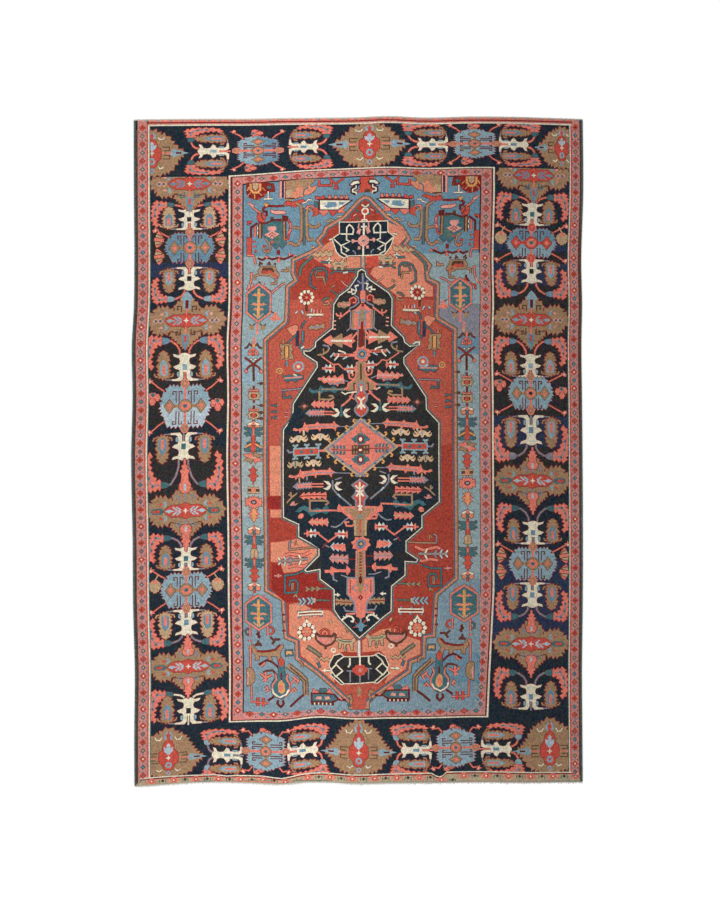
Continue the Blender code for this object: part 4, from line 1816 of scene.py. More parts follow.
                petal = [(0, 0), (0.4, -3), (2.4, -6), (4, -3.6), (9.6, -3.2), (7, -0.8), (4, 0.2)]
                for across, along, dye in ((-1, 1, CORAL), (1, -1, CORAL), (1, 1, CAMEL), (-1, -1, CAMEL)):
                    spot.at(0, 0, across, along).fill(petal, dye)
                spot.line([(-3, 0), (3, 0)], 1.4, PINK)
            case Bloom.FINIAL:
                spot.fill(mirrored([(0, -11), (0.8, -7), (4.2, -5.4), (2, -3.4), (2.4, -1), (4.8, 0.6),
                                    (2, 2.6), (2.4, 5), (0.8, 6), (0, 11)]), RED)
            case Bloom.BAR:
                for y in (-2.2, 0, 2.2):
                    spot.line([(-6, y), (6, y)], 1.4, SAND if y else BROWN)
                spot.box(0, 0, 2.2, 2.6, SALMON)
            case Bloom.CROSS:
                spot.fill(quartered([(0, -4.4), (1, -6.6), (2.4, -4.2), (4.6, -5.6), (4.8, -3), (8, -4),
                                     (7.4, -1.4), (8.6, 0)]), CORAL)
                spot.disc(0, 0, 3.3, 2.5, 8, MAROON)
                spot.disc(0, 0, 1.9, 1.3, 6, MIST)
            case Bloom.TREE:
                spot.fill(mirrored([(0, -7), (2, -5.4), (4.6, -5.6), (2, -3), (5.6, -1), (2.2, 0.6),
                                    (5, 2.6), (2, 3.6), (0, 8)]), CORAL)
                spot.line([(0, -6), (0, 6)], 2.6, GOLD)
            case Bloom.TENDRIL:
                spot.line([(0, -16), (0, -10)], 2.2, CORAL)
                spot.line([(0, -9), (0, -1)], 1.8, RED)
                for half in spot.sides():
                    half.line([(1, -11), (4, -13.4), (6, -10), (9, -9)], 1.0, BROWN)
                    half.line([(0, -9), (4, -6), (4.4, -3), (1, -4)], 1.2, CORAL)
                    half.line([(8.6, 0), (0, 6.6), (5, 9.6), (7, 12.6)], 1.1, DEEP_RED)
                    half.diamond(7.4, 14, 1.8, 2, CORAL)
                    half.diamond(2.2, 2, 1.2, 1, IVORY)
                spot.line([(0, 8), (0, 24)], 1.3, MAROON)
            case Bloom.LEAF:
                spot.fill(mirrored([(0, -4.6), (2.2, -4), (3.6, -1.4), (3, 1.6), (4, 4), (0, 5)]), SAND)
                spot.line([(0, -5), (0, 5)], 1.2, CAMEL)


@dataclass(frozen=True)
class Field:
    """The blue field, the red inner field and everything that stands on them."""

    def draw_grounds(self, paper: Stencil) -> None:
        """Draws the blue ground's batches of wool.

        Args:
            paper: the stencil to draw on.
        """
        left = (
            AbrashRow(178, MID_BLUE),
            AbrashRow(256, MIST),
            AbrashRow(345, LIGHT_BLUE),
            AbrashRow(384, MIST),
            AbrashRow(458, HAZE),
            AbrashRow(516, MIST),
            AbrashRow(594, SLATE),
            AbrashRow(712, SLATE),
        )
        right = (
            AbrashRow(176, MID_BLUE),
            AbrashRow(254, MIST),
            AbrashRow(305, GREY),
            AbrashRow(338, MID_BLUE),
            AbrashRow(355, MIST),
            AbrashRow(580, SLATE),
            AbrashRow(654, MID_BLUE),
            AbrashRow(684, SLATE),
            AbrashRow(712, SLATE),
        )
        outline = Frames().inner_outline(Frames.inner_rows[-1])
        paper.fill(outline, MID_BLUE)
        for rows, x0, x1 in ((left, 243, 362), (right, 362, 480)):
            draw_ground(paper, rows[1:], x0, x1)

    def draw_red_field(self, paper: Stencil) -> None:
        """Draws the red inner field with its stepped outline and the salmon parts of it.

        Args:
            paper: the stencil to draw on.
        """
        outline = [(364, 199.4), (359.4, 202), (344.4, 218.6), (326.4, 229.4), (324.6, 235), (318.6, 241.4),
                   (323, 247), (311, 254)]
        outline += [(294, 261), (293.4, 273), (297, 281), (288, 287.5), (287.4, 322), (267.4, 340),
                    (267.4, 589)]
        outline += [(284, 598), (286.4, 636), (297, 641), (297.4, 658), (314, 671), (340, 693), (351, 702)]
        outline += [(351, 706), (366, 706), (366, 702), (371, 696), (408, 671), (409, 662), (422.6, 656)]
        outline += [(423, 636), (432.6, 635), (435, 595), (455, 579), (455, 331), (436, 319), (437, 285)]
        outline += [(427, 280), (426, 273), (429, 266), (422, 258), (403, 245.6), (407.6, 239.4),
                    (401, 229.4), (385.6, 219.6)]
        outline += [(372, 205), (368.6, 201)]
        outline.reverse()
        for dye, reach in ((BROWN, 3.4), (CAMEL, 2.6), (CORAL, 1.3), (TEAL, 0.2), (BRICK, -1.5)):
            paper.fill(side_offsets(outline, reach, closed=True), dye)
        for patch in (
            [(290, 300), (332, 300), (332, 400), (300, 444), (270.4, 444), (270.4, 341.4), (290, 323.6)],
            [(396, 300), (433.4, 300), (433.4, 321), (452, 333), (452, 446), (424, 446), (396, 400)],
        ):
            paper.fill(patch, CLAY)
        for patch in (
            [(322, 248.5), (327, 244), (333, 240), (336, 250), (340, 257), (349, 259), (349, 268),
             (330, 269), (313, 259), (306, 259), (313, 253.5)],
            [(388, 224), (401, 229), (406, 238), (400, 245), (420, 260), (427, 266), (424, 273), (425, 282),
             (433, 287), (433, 297), (420, 297), (409, 298), (398, 298), (388, 290), (370, 275), (374, 268),
             (384, 256), (391, 247), (393, 238), (388, 234)],
            [(271, 445), (282, 445), (283, 470), (282, 495), (271, 495)],
            [(271, 509), (282, 509), (284, 517), (271, 517)],
            [(271, 542), (299, 539), (317, 551), (317, 558), (305, 569), (296, 572), (284, 572), (280, 562),
             (271, 561)],
            [(289, 604), (300, 603), (312, 611), (330, 612), (340, 622), (357, 640), (357, 652), (342, 652),
             (330, 660), (334, 684), (314, 668), (300, 656), (299.6, 641), (289, 634)],
            [(362, 640), (380, 630), (394, 628), (400, 634), (420, 641), (420, 654), (407, 660), (405.6, 669),
             (384, 684), (389, 672), (388, 660), (380, 651), (362, 652)],
        ):
            paper.fill(patch, SALMON)
        paper.fill([(341, 682), (378, 681), (384, 684), (366, 698), (364.8, 709), (351.4, 709), (350, 699),
                    (334, 686)],
                   CLAY)
        paper.block(268, 496, 282, 508, DEEP_BRICK)
        paper.fill([(272, 563), (281, 563), (284, 575), (303, 573), (318, 575), (318, 582), (332, 592),
                    (332, 610), (313, 610), (300, 602), (286, 602), (272, 590)], DEEP_BRICK)

    def draw_singles(self, paper: Stencil) -> None:
        """Draws what stands on the line of symmetry over the medallion.

        Args:
            paper: the stencil to draw on.
        """
        paper.line([(361, 205.4), (364.8, 208), (368.4, 205.4)], 1.4, IVORY, MAROON)
        paper.disc(364.6, 212.2, 4.6, 4.6, 8, MAROON)
        paper.disc(364.6, 212.2, 4, 4, 8, IVORY)
        paper.disc(364.6, 212.2, 2.4, 2.4, 8, RED)
        paper.line([(363, 257), (363, 271)], 3.6, GREY)
        paper.line([(363, 256.6), (363, 270)], 1.7, SAND)
        paper.fill([(366.4, 257.6), (378.4, 257), (379, 268), (366.4, 268.6)], RED)
        paper.line([(358.6, 641), (358.6, 655)], 4, GREY)
        paper.line([(358.6, 640), (358.6, 656)], 2, IVORY)
        paper.fill([(358.6, 685), (361, 690), (359.6, 696), (357.4, 696), (356, 690)], CAMEL)

    def draw_rounds(self, half: Stencil) -> None:
        """Draws the half's rosettes and rings on the red ground.

        Args:
            half: the stencil to draw on, of either half.
        """
        for x, y, r, tip in ((306.2, 298, 7.4, 0), (306.4, 633, 9, 4)):
            half.fill([(x - 4, y - r * 0.7), (x, y - r - tip), (x + 4, y - r * 0.7)], IVORY)
            half.disc(x, y, r * 1.06, r, 12, MAROON)
            for px, py in half.ring(x, y, r * 0.84, r * 0.8, 10):
                half.disc(px, py, r * 0.23, r * 0.25, 6, IVORY)
            half.disc(x, y, r * 0.6, r * 0.58, 10, RED)
            for px, py in half.ring(x, y, r * 0.36, r * 0.36, 6):
                half.diamond(px, py, r * 0.2, r * 0.2, SALMON if tip else DEEP_RED)
            half.disc(x, y, r * 0.16, r * 0.16, 6, SAND)
        for x, y, rings in (
            (299.6, 367, ((5.8, LIGHT_BLUE), (4, RED), (2.6, SALMON), (1.4, IVORY))),
            (280.6, 370.4, ((3.4, GOLD), (2.2, BROWN), (1.4, SALMON))),
            (333, 651.4, ((2.8, IVORY), (1.4, SALMON))),
        ):
            for radius, dye in rings:
                half.disc(x, y, radius, radius * 0.94, 10, dye)

    def draw(self, paper: Stencil) -> None:
        """Draws the whole field.

        Args:
            paper: the stencil to draw on.
        """
        self.draw_grounds(paper)
        self.draw_red_field(paper)
        block = paper.at(366.4, 178)
        for sheet in block.twice(MAROON):
            sheet.fill([(-6.6, 0), (6.6, 0), (7, 13), (9, 15), (-10, 15), (-7, 12)], RED)
        block.fill([(-3, 15), (-2, 12), (2.4, 12), (3.4, 15)], BROWN)
        for figures, axis, lift in (
            (UPPER_CORNER, 725.6, 5),
            (UPPER_MIDDLE, 727.4, 0.6),
            (RED_FIELD_TOP, 726, 4.6),
            (RED_FIELD_MIDDLE, 723.5, 9.4),
            (RED_FIELD_LOWER, 726, 6),
            (RED_FIELD_ARROWS, 726, 1.4),
            (RED_FIELD_BOTTOM, 721, 3.6),
            (LOWER_CORNER, 719.6, 5),
        ):
            for half in (paper, paper.mirror(axis, lift)):
                for figure in figures:
                    for sheet in half.twice(MAROON):
                        figure.draw(sheet)
        self.draw_rounds(paper)
        self.draw_rounds(paper.mirror(723.6, 5))
        self.draw_singles(paper)
        FlowerStrip().draw(paper)


# ---------------------------------------------------------------- medallion


@dataclass(frozen=True)
class Fans:
    """A row of fans along a stem, like a comb or a feather.

    Attributes:
        count: how many fans.
        pitch: how far apart they are.
        reach: half the height of a fan.
        dye: of the fans.
        stem: the dye of the stem, or None for no stem.
    """

    count: int
    pitch: float
    reach: float
    dye: Dye
    stem: Dye | None = None

    def draw(self, paper: Stencil, x: float, y: float, way: int = 1) -> None:
        """Draws the row from its first fan's tip, and way is 1 where the fans open to the right.

        Args:
            paper: the stencil to draw on.
            x: its place, to the right, in knots.
            y: its place, downwards, in knots.
            way: -1 turns it to the left.
        """
        row = paper.at(x, y, across=way)
        pitch, reach = self.pitch, self.reach
        outline = [(0.0, 0.0)]
        for index in range(self.count):
            base = index * pitch
            outline += [(base + pitch * 0.95, -reach), (base + pitch * 1.05, -reach * 0.42)]
        outline += [(x, -y) for x, y in reversed(outline[1:])]
        row.fill(outline, self.dye)
        if self.stem:
            row.line([(0.5, 0), (self.count * pitch + 1, 0)], 1, self.stem)


def dragon(paper: Stencil, x: float, y: float, body: Dye, spine: Dye, lift: int = 1) -> None:
    """A long dragon-like beast: its tail at the left, four feet, and a stem from its nose.

    Args:
        paper: the stencil to draw on.
        x: its place, to the right, in knots.
        y: its place, downwards, in knots.
        body: its wool.
        spine: the wool of the line along it.
        lift: -1 turns it upside down.
    """
    beast = paper.at(x, y, along=lift)
    outline = [(-24, 1), (-22.4, 0), (-19, 1.6), (-15, 0.6), (-13.4, -2), (-12.6, -5.4), (-11, -2.4),
               (-2, -2.8)]
    outline += [(0.4, -5.2), (2.4, -3), (14.6, -3.6), (17, -6.4), (18.4, -3.8), (22.6, -1.6), (19.2, 0.4),
                (18.6, 4)]
    outline += [(16.2, 1.2), (4, 1.8), (3, 5), (0.8, 2.2), (-8, 2.6), (-9.4, 5.4), (-12, 3.4), (-15, 3.2),
                (-17.4, 5.8)]
    outline += [(-18, 3), (-21, 3.4), (-24, 2.4)]
    beast.fill(outline, body)
    beast.line([(-9, 0.8), (4, -0.6), (20, -1), (37, -1.4)], 0.9, spine)
    beast.line([(-13.6, 4), (-13.6, 9)], 1.4, SAND)


def rocket(paper: Stencil, x: float, y: float, rim: Dye) -> None:
    """A pointed flower with a toothed rim, on a double stalk that ends in four claws.

    Args:
        paper: the stencil to draw on.
        x: its place, to the right, in knots.
        y: its place, downwards, in knots.
        rim: the wool of its rim.
    """
    flower = paper.at(x, y)
    edge = [(0, 0), (3.4, -2.4), (5, -4)]
    edge += [point for tooth in range(5) for point in ((6.6 + 2.8 * tooth, -2.2), (8 + 2.8 * tooth, -3.9))]
    edge += [(19.4, -2.2), (19.4, 2.2)]
    edge += [(x, -y) for x, y in reversed(edge[1:-2])]
    flower.fill(edge, rim)
    flower.fill([(3.6, 0), (6, -1.8), (31, -2.2), (31, 2.2), (6, 1.8)], CORAL)
    flower.line([(7, 0), (18, 0)], 0.9, rim)
    flower.line([(19, 0), (31, 0)], 1.5, NIGHT)


def claws(paper: Stencil, x: float, y: float) -> None:
    """Two pairs of ivory claws that open away from each other, on a stem between them.

    Args:
        paper: the stencil to draw on.
        x: its place, to the right, in knots.
        y: its place, downwards, in knots.
    """
    for way in (1, -1):
        pair = paper.at(x, y, across=way)
        pair.fill([(1.6, -0.8), (4, -4.2), (9.4, -4.6), (6.6, -2.6), (5, -0.6), (5, 0.6), (6.6, 2.2),
                   (9.8, 3), (5.6, 4.6), (2.8, 2.8)], IVORY)
        pair.line([(4, -0.2), (8.6, -1.4)], 1.2, MAROON)


def bird(paper: Stencil, x: float, y: float, dye: Dye, across: float = 1) -> None:
    """A bird with spread wings and three pairs of toes.

    Args:
        paper: the stencil to draw on.
        x: its place, to the right, in knots.
        y: its place, downwards, in knots.
        dye: its wool.
        across: its scale sideways.
    """
    half = [(0, -3.6), (2.6, -3.2), (4.6, -1.5), (6.2, -1.7), (7.8, -3.4), (8, -1.2), (6, 0.2), (6.8, 0.9),
            (8.2, 0.2), (9.2, -1.4), (9.2, 1.4), (7.2, 3.4), (4.6, 2.9), (3, 1.2), (1.6, 1.4), (1.4, 3),
            (0, 4)]
    body = paper.at(x, y, across=across)
    body.fill(mirrored(half), dye)
    body.box(0, -0.4, 0.7, 1.8, MIST)


def blossom(paper: Stencil, x: float, y: float, way: int = 1) -> None:
    """A bud seen from the side: a coral body between blue and ivory petals.

    Args:
        paper: the stencil to draw on.
        x: its place, to the right, in knots.
        y: its place, downwards, in knots.
        way: -1 turns it to the left.
    """
    bud = paper.at(x, y, across=way)
    for side in (-1, 1):
        half = bud.at(along=side)
        half.fill([(1.6, -0.8), (3, -4.4), (5.2, -2.2), (5.4, -0.6)], PALE_BLUE)
        half.fill([(5.2, -0.8), (7.4, -5), (8.6, -2.4), (9, -0.6)], IVORY)
        half.fill([(8.4, -0.8), (11.6, -4), (12, -1), (11, -0.4)], CORAL)
    bud.line([(-1, 0), (12, 0)], 2.4, CORAL)
    bud.line([(3, 0), (10, 0)], 0.9, DEEP_RED)


# Single marks on the medallion's left half.
MEDALLION_TOP = (
    Figure(333, 277, (
        (INDIGO, 0, (40, 14, 52, 0, 56, 2, 56, 34, 46, 38, 38, 32)),
        (IVORY, 1.5, (29, 31, 37, 31, 37, 25, 47, 29, 44, 19, 51, 17)),
        (IVORY, 1.3, (37, 35, 43, 34, 47, 27)),
        (GREY, 1.5, (42, 37, 50, 42, 51, 52, 43, 59, 34, 63, 32, 70)),
        (DEEP_RED, 0, (36, 42, 45, 42, 48, 48, 44, 55, 35, 56, 33, 48)),
        (CORAL, 1.2, (33, 55, 33, 45, 40, 41, 46, 45, 45, 52, 39, 52)),
        (CAMEL, 0, (8, 55, 11, 51, 16, 52, 20, 49, 26, 51, 32, 49, 35, 54, 33, 59, 27, 61, 22, 64, 16, 61, 11,
         62, 8, 59)),
        (ROSE, 1.6, (13, 56, 34, 56)),
        (CORAL, 1.6, (34, 67, 25, 74, 18, 80, 9, 78, 6, 74)),
        (CORAL, 1.3, (13, 85, 17, 79, 15, 72)),
        (PINK, 1.3, (1, 90, 7, 89), (1, 98, 7, 97), (1, 106, 7, 105)),
    )),
    # The long feather.
    Figure(324, 332, (
        (CORAL, 0, (0, 19, 16, 7, 20, 14, 20, 24, 17, 30)),
        (CAMEL, 0, (20, 14, 26, 11, 38, 3, 40, 13, 40, 24, 39, 33, 27, 27, 20, 24)),
        (CORAL, 0, (40, 13, 48, 9, 59, 3, 57, 12, 66, 18, 58, 24, 59, 33, 47, 27, 40, 24)),
        (IVORY, 1.8, (16, 19, 58, 18)),
        (CORAL, 1.9, (69, 1, 61, 10, 57, 16)),
    )),
    # The branch under it.
    Figure(318, 346, (
        (GREY, 1.6, (12, 0, 23, 2, 25, 8)),
        (CAMEL, 1.7, (25, 7, 21, 13, 11, 19, 1, 20)),
        (CAMEL, 1.4, (13, 7, 15, 18)),
        (CORAL, 1.3, (9, 22, 24, 33, 33, 39, 43, 37, 52, 46, 59, 47)),
        (CORAL, 3, (34, 19, 78, 19)),
        (DEEP_RED, 1.1, (38, 19, 64, 19)),
        (PALE_BLUE, 1.4, (27, 24, 35, 15), (52, 27, 61, 22)),
        (IVORY, 1.5, (35, 30, 42, 22, 44, 16), (43, 10, 54, 13, 58, 16)),
    )),
    # The curl, and the pink comb beside it.
    Figure(309, 371, (
        (CORAL, 1.6, (97, 0, 96, 11, 90, 17, 83, 15, 81, 7, 86, 3, 90, 7, 88, 11)),
        (PINK, 2.6, (20, 17, 25, 19)),
        (CORAL, 0, (22, 18, 32, 12, 34, 18, 42, 10, 46, 16, 54, 9, 58, 15, 70, 6, 73, 26, 62, 26, 59, 32, 50,
         25, 44, 30, 38, 24, 32, 27)),
        (PINK, 2.4, (30, 19, 71, 18)),
        (GREY, 1.3, (40, 26, 54, 28, 59, 25, 70, 23)),
        (CORAL, 1.8, (99, 14, 92, 23, 80, 32, 73, 37, 64, 38)),
        (CORAL, 1.6, (79, 30, 81, 40)),
        (GREY, 1.2, (72, 19, 84, 24)),
        (TEAL, 0, (2, 35, 10, 41, 20, 40, 24, 31, 32, 36, 44, 36, 50, 31, 58, 36, 72, 34, 72, 41, 60, 40, 52,
         46, 44, 42, 30, 44, 24, 48, 18, 46, 8, 47, 1, 41)),
        (CAMEL, 1.1, (26, 39, 72, 37)),
        (CAMEL, 1.8, (22, 43, 22, 59, 43, 59, 50, 55, 48, 51, 41, 52)),
        (CORAL, 1.9, (91, 41, 85, 54, 75, 64, 66, 71)),
        (CORAL, 1.4, (82, 51, 92, 57)),
        (IVORY, 1.3, (66, 43, 74, 47, 79, 44, 97, 42)),
    )),
)
MEDALLION_MIDDLE = (
    Figure(287, 402, (
        (BROWN, 0, (22, 10, 30, 7, 35, 1, 40, 6, 47, 10, 41, 14, 36, 20, 30, 14)),
        (ROSE, 0, (32, 10, 36, 6, 40, 10, 36, 14)),
        (TEAL, 1.8, (110, 9, 110, 30)),
        (TEAL, 1.5, (106, 26, 114, 26)),
        (IVORY, 1.7, (35, 56, 36, 68)),
        (GREY, 1.5, (16, 100, 7, 101, 3, 95)),
        (GREY, 1.7, (42, 146, 42, 159), (93, 158, 93, 174, 102, 186, 114, 195, 130, 208)),
        (PALE_BLUE, 1.5, (103, 185, 109, 192)),
        (GREY, 1.2, (98, 157, 111, 152)),
        (CAMEL, 1.5, (1, 201, 11, 191, 9, 180), (5, 184, 12, 190, 22, 183)),
        (ROSE, 0, (7, 206, 12, 199, 17, 199, 17, 204, 24, 203, 18, 208, 10, 207)),
        (TEAL, 0, (18, 220, 26, 212, 36, 209, 44, 213, 50, 219, 62, 214, 70, 218, 78, 210, 84, 212, 86, 221,
                   80, 227, 70, 224, 58, 227, 50, 232, 42, 223, 34, 217, 26, 222)),
        (CAMEL, 1.9, (78, 209, 84, 204, 81, 200, 47, 200, 47, 220, 62, 221)),
        (CORAL, 1.7, (58, 221, 86, 219, 110, 218)),
        (CORAL, 0, (23, 229, 27, 224, 33, 225, 35, 230, 30, 235, 24, 234)),
        (PINK, 0, (27, 229, 30, 227, 31, 231, 28, 232)),
        (GREY, 1.4, (88, 251, 98, 252, 108, 246, 116, 237, 125, 231)),
        (CORAL, 1.8, (140, 238, 131, 248, 119, 248, 117, 241, 125, 240)),
    )),
)
MEDALLION_BOTTOM = (
    Figure(304, 534, (
        (CORAL, 1.6, (0, 1, 28, 2, 49, 18, 68, 3)),
        (GREY, 1.4, (40, 24, 51, 29)),
        (DEEP_RED, 1.3, (47, 18, 37, 31)),
    )),
)
MEDALLION_LOW = (
    Figure(304, 534, (
        (DEEP_RED, 1.2, (88, 51, 106, 50), (88, 72, 106, 71)),
        (GREY, 1.6, (58, 76, 59, 93, 67, 96)),
        (CORAL, 0, (41, 75, 52, 74, 54, 67, 66, 72, 84, 71, 85, 63, 93, 70, 92, 76, 86, 83, 84, 77, 70, 77,
                    60, 79, 56, 86, 52, 80, 42, 81)),
        (GREY, 1.2, (74, 83, 88, 87, 100, 87)),
    )),
)
MEDALLION_FOOT = (
    Figure(332, 590, (
        (IVORY, 1.3, (4, 11, 11, 11)),
        (IVORY, 0, (10, 7, 17, 11, 10, 15)),
        (GREY, 1.5, (23, 34, 27, 42, 43, 43, 46, 24)),
        (CORAL, 1.7, (28, 48, 46, 47)),
        (IVORY, 1.7, (18, 62, 25, 56, 32, 52, 39, 53, 43, 58, 41, 63, 37, 62)),
        (IVORY, 1.2, (22, 53, 27, 57), (28, 49, 29, 53)),
        (RED, 1, (44, 62, 50, 68), (42, 74, 50, 74)),
    )),
)
SPINE_TOP = (
    Figure(346, 274, (
        (GREY, 1.6, (31, 0, 31, 36)),
        (GREY, 1.4, (20, 14, 25, 19, 31, 19)),
        (CORAL, 0, (31, 32, 25, 36, 25, 48, 28, 60, 16, 71, 10, 73, 9, 111, 31, 111)),
        (BROWN, 0, (18, 34, 26, 35, 25, 46, 19, 44)),
        (CAMEL, 2.2, (12, 74, 12, 108)),
        (GREY, 1.2, (7, 74, 7, 109, 0, 115), (9, 111, 24, 112)),
        (MID_BLUE, 1.6, (25, 72, 25, 106)),
        (MID_BLUE, 1.4, (15, 75, 19, 78, 25, 77)),
        (BROWN, 0, (25, 112, 31, 112, 31, 148, 24, 148)),
        (CAMEL, 0, (26, 70, 31, 70, 31, 96, 26, 96)),
        (DEEP_RED, 0, (28, 96, 31, 96, 31, 146, 28, 146)),
        (ROSE, 1.1, (23, 112, 23, 148)),
        (DEEP_RED, 2.2, (30, 59, 30, 66)),
        (MID_BLUE, 2.2, (30, 51, 30, 57)),
    )),
)
SPINE_MIDDLE = (
    Figure(346, 361, (
        (CAMEL, 0, (31, 0, 23, 2, 23, 20, 19, 35, 7, 44, 4, 59, 31, 61)),
        (ROSE, 1.2, (22, 3, 22, 21)),
        (CORAL, 1.6, (22, 20, 18, 37, 5, 46, 1, 59)),
        (BROWN, 2.2, (17, 44, 17, 60)),
        (CORAL, 1.2, (19, 47, 19, 60)),
        (BROWN, 1.3, (30, 6, 30, 38)),
    )),
    # The beaded pendant over the diamond.
    Figure(354, 380, (
        (GREY, 0, (15, 0, 7, 11, 8, 22, 1, 32, 2, 41, 7, 48, 0, 57, 0, 63, 6, 71, 15, 76)),
        (MID_BLUE, 1.1, (14, 5, 9, 13, 9, 22)),
        (RED, 0, (15, 6, 10, 14, 11, 24, 5, 33, 5, 40, 10, 48, 3, 57, 4, 62, 8, 68, 15, 73)),
        (IVORY, 0, (15, 13, 12, 13, 13, 23, 15, 24)),
        (IVORY, 1.9, (7, 35, 12, 39, 15, 42, 15, 48, 11, 52, 7, 57)),
        (IVORY, 1.4, (14, 38, 14, 60)),
    )),
)
SPINE_BOTTOM = (
    # The pendant under the diamond.
    Figure(338, 478, (
        (GREY, 0, (47, 1, 41, 5, 29, 14, 38, 23, 36, 30, 29, 38, 36, 45, 37, 56, 37, 70, 47, 78)),
        (RED, 0, (47, 5, 42, 8, 34, 14, 41, 23, 40, 30, 34, 38, 40, 45, 40, 68, 47, 74)),
        (MAROON, 0, (44, 44, 47, 42, 47, 58, 44, 58)),
        (IVORY, 1.6, (38, 15, 43, 20, 47, 22)),
        (IVORY, 2, (39, 37, 44, 31, 47, 28, 39, 25)),
        (IVORY, 1.1, (46, 8, 46, 56)),
        (IVORY, 2, (43, 55, 47, 61, 43, 65)),
        (CAMEL, 0, (47, 72, 38, 60, 15, 59, 15, 68, 31, 82, 34, 96, 34, 116, 47, 116)),
        (CORAL, 0, (37, 56, 10, 58, 4, 53, 1, 61, 2, 69, 10, 69, 29, 84, 34, 84, 34, 79, 20, 67, 16, 61, 37,
         61)),
        (ROSE, 1.2, (24, 62, 24, 72)),
        (SAND, 1.6, (36, 84, 36, 115)),
        (MID_BLUE, 1.8, (45, 75, 47, 81)),
        (RED, 0, (45, 83, 47, 83, 47, 110, 45, 110)),
    )),
    # The beaded stem, the vase and the finial.
    Figure(346, 550, (
        (ROSE, 0, (31, 0, 21, 1, 20, 56, 31, 56)),
        (CAMEL, 0, (31, 0, 24, 1, 23, 54, 31, 54)),
        (DEEP_RED, 1.5, (28, 6, 31, 6), (28, 12, 31, 12), (28, 18, 31, 18), (28, 24, 31, 24),
         (28, 30, 31, 30), (28, 36, 31, 36), (28, 42, 31, 42), (28, 48, 31, 48)),
        (GREY, 0, (31, 54, 3, 54, 2, 88, 14, 103, 17, 110, 18, 126, 31, 127)),
        (CORAL, 0, (31, 57, 6, 57, 5, 87, 16, 99, 20, 106, 21, 126, 22, 133, 31, 137)),
        (BROWN, 0.9, (10, 60, 10, 86)),
        (CAMEL, 0, (31, 54, 22, 56, 23, 72, 31, 89)),
        (MAROON, 0, (31, 49, 27, 56, 27, 64, 31, 69)),
        (GREY, 1.3, (21, 68, 15, 74, 18, 80, 22, 81)),
        (MAROON, 1.2, (31, 90, 27, 94, 31, 99)),
        (GREY, 1.2, (30, 136, 30, 144)),
        (MID_BLUE, 0, (31, 141, 25, 148, 19, 151, 26, 155, 27, 161, 31, 163)),
    )),
)


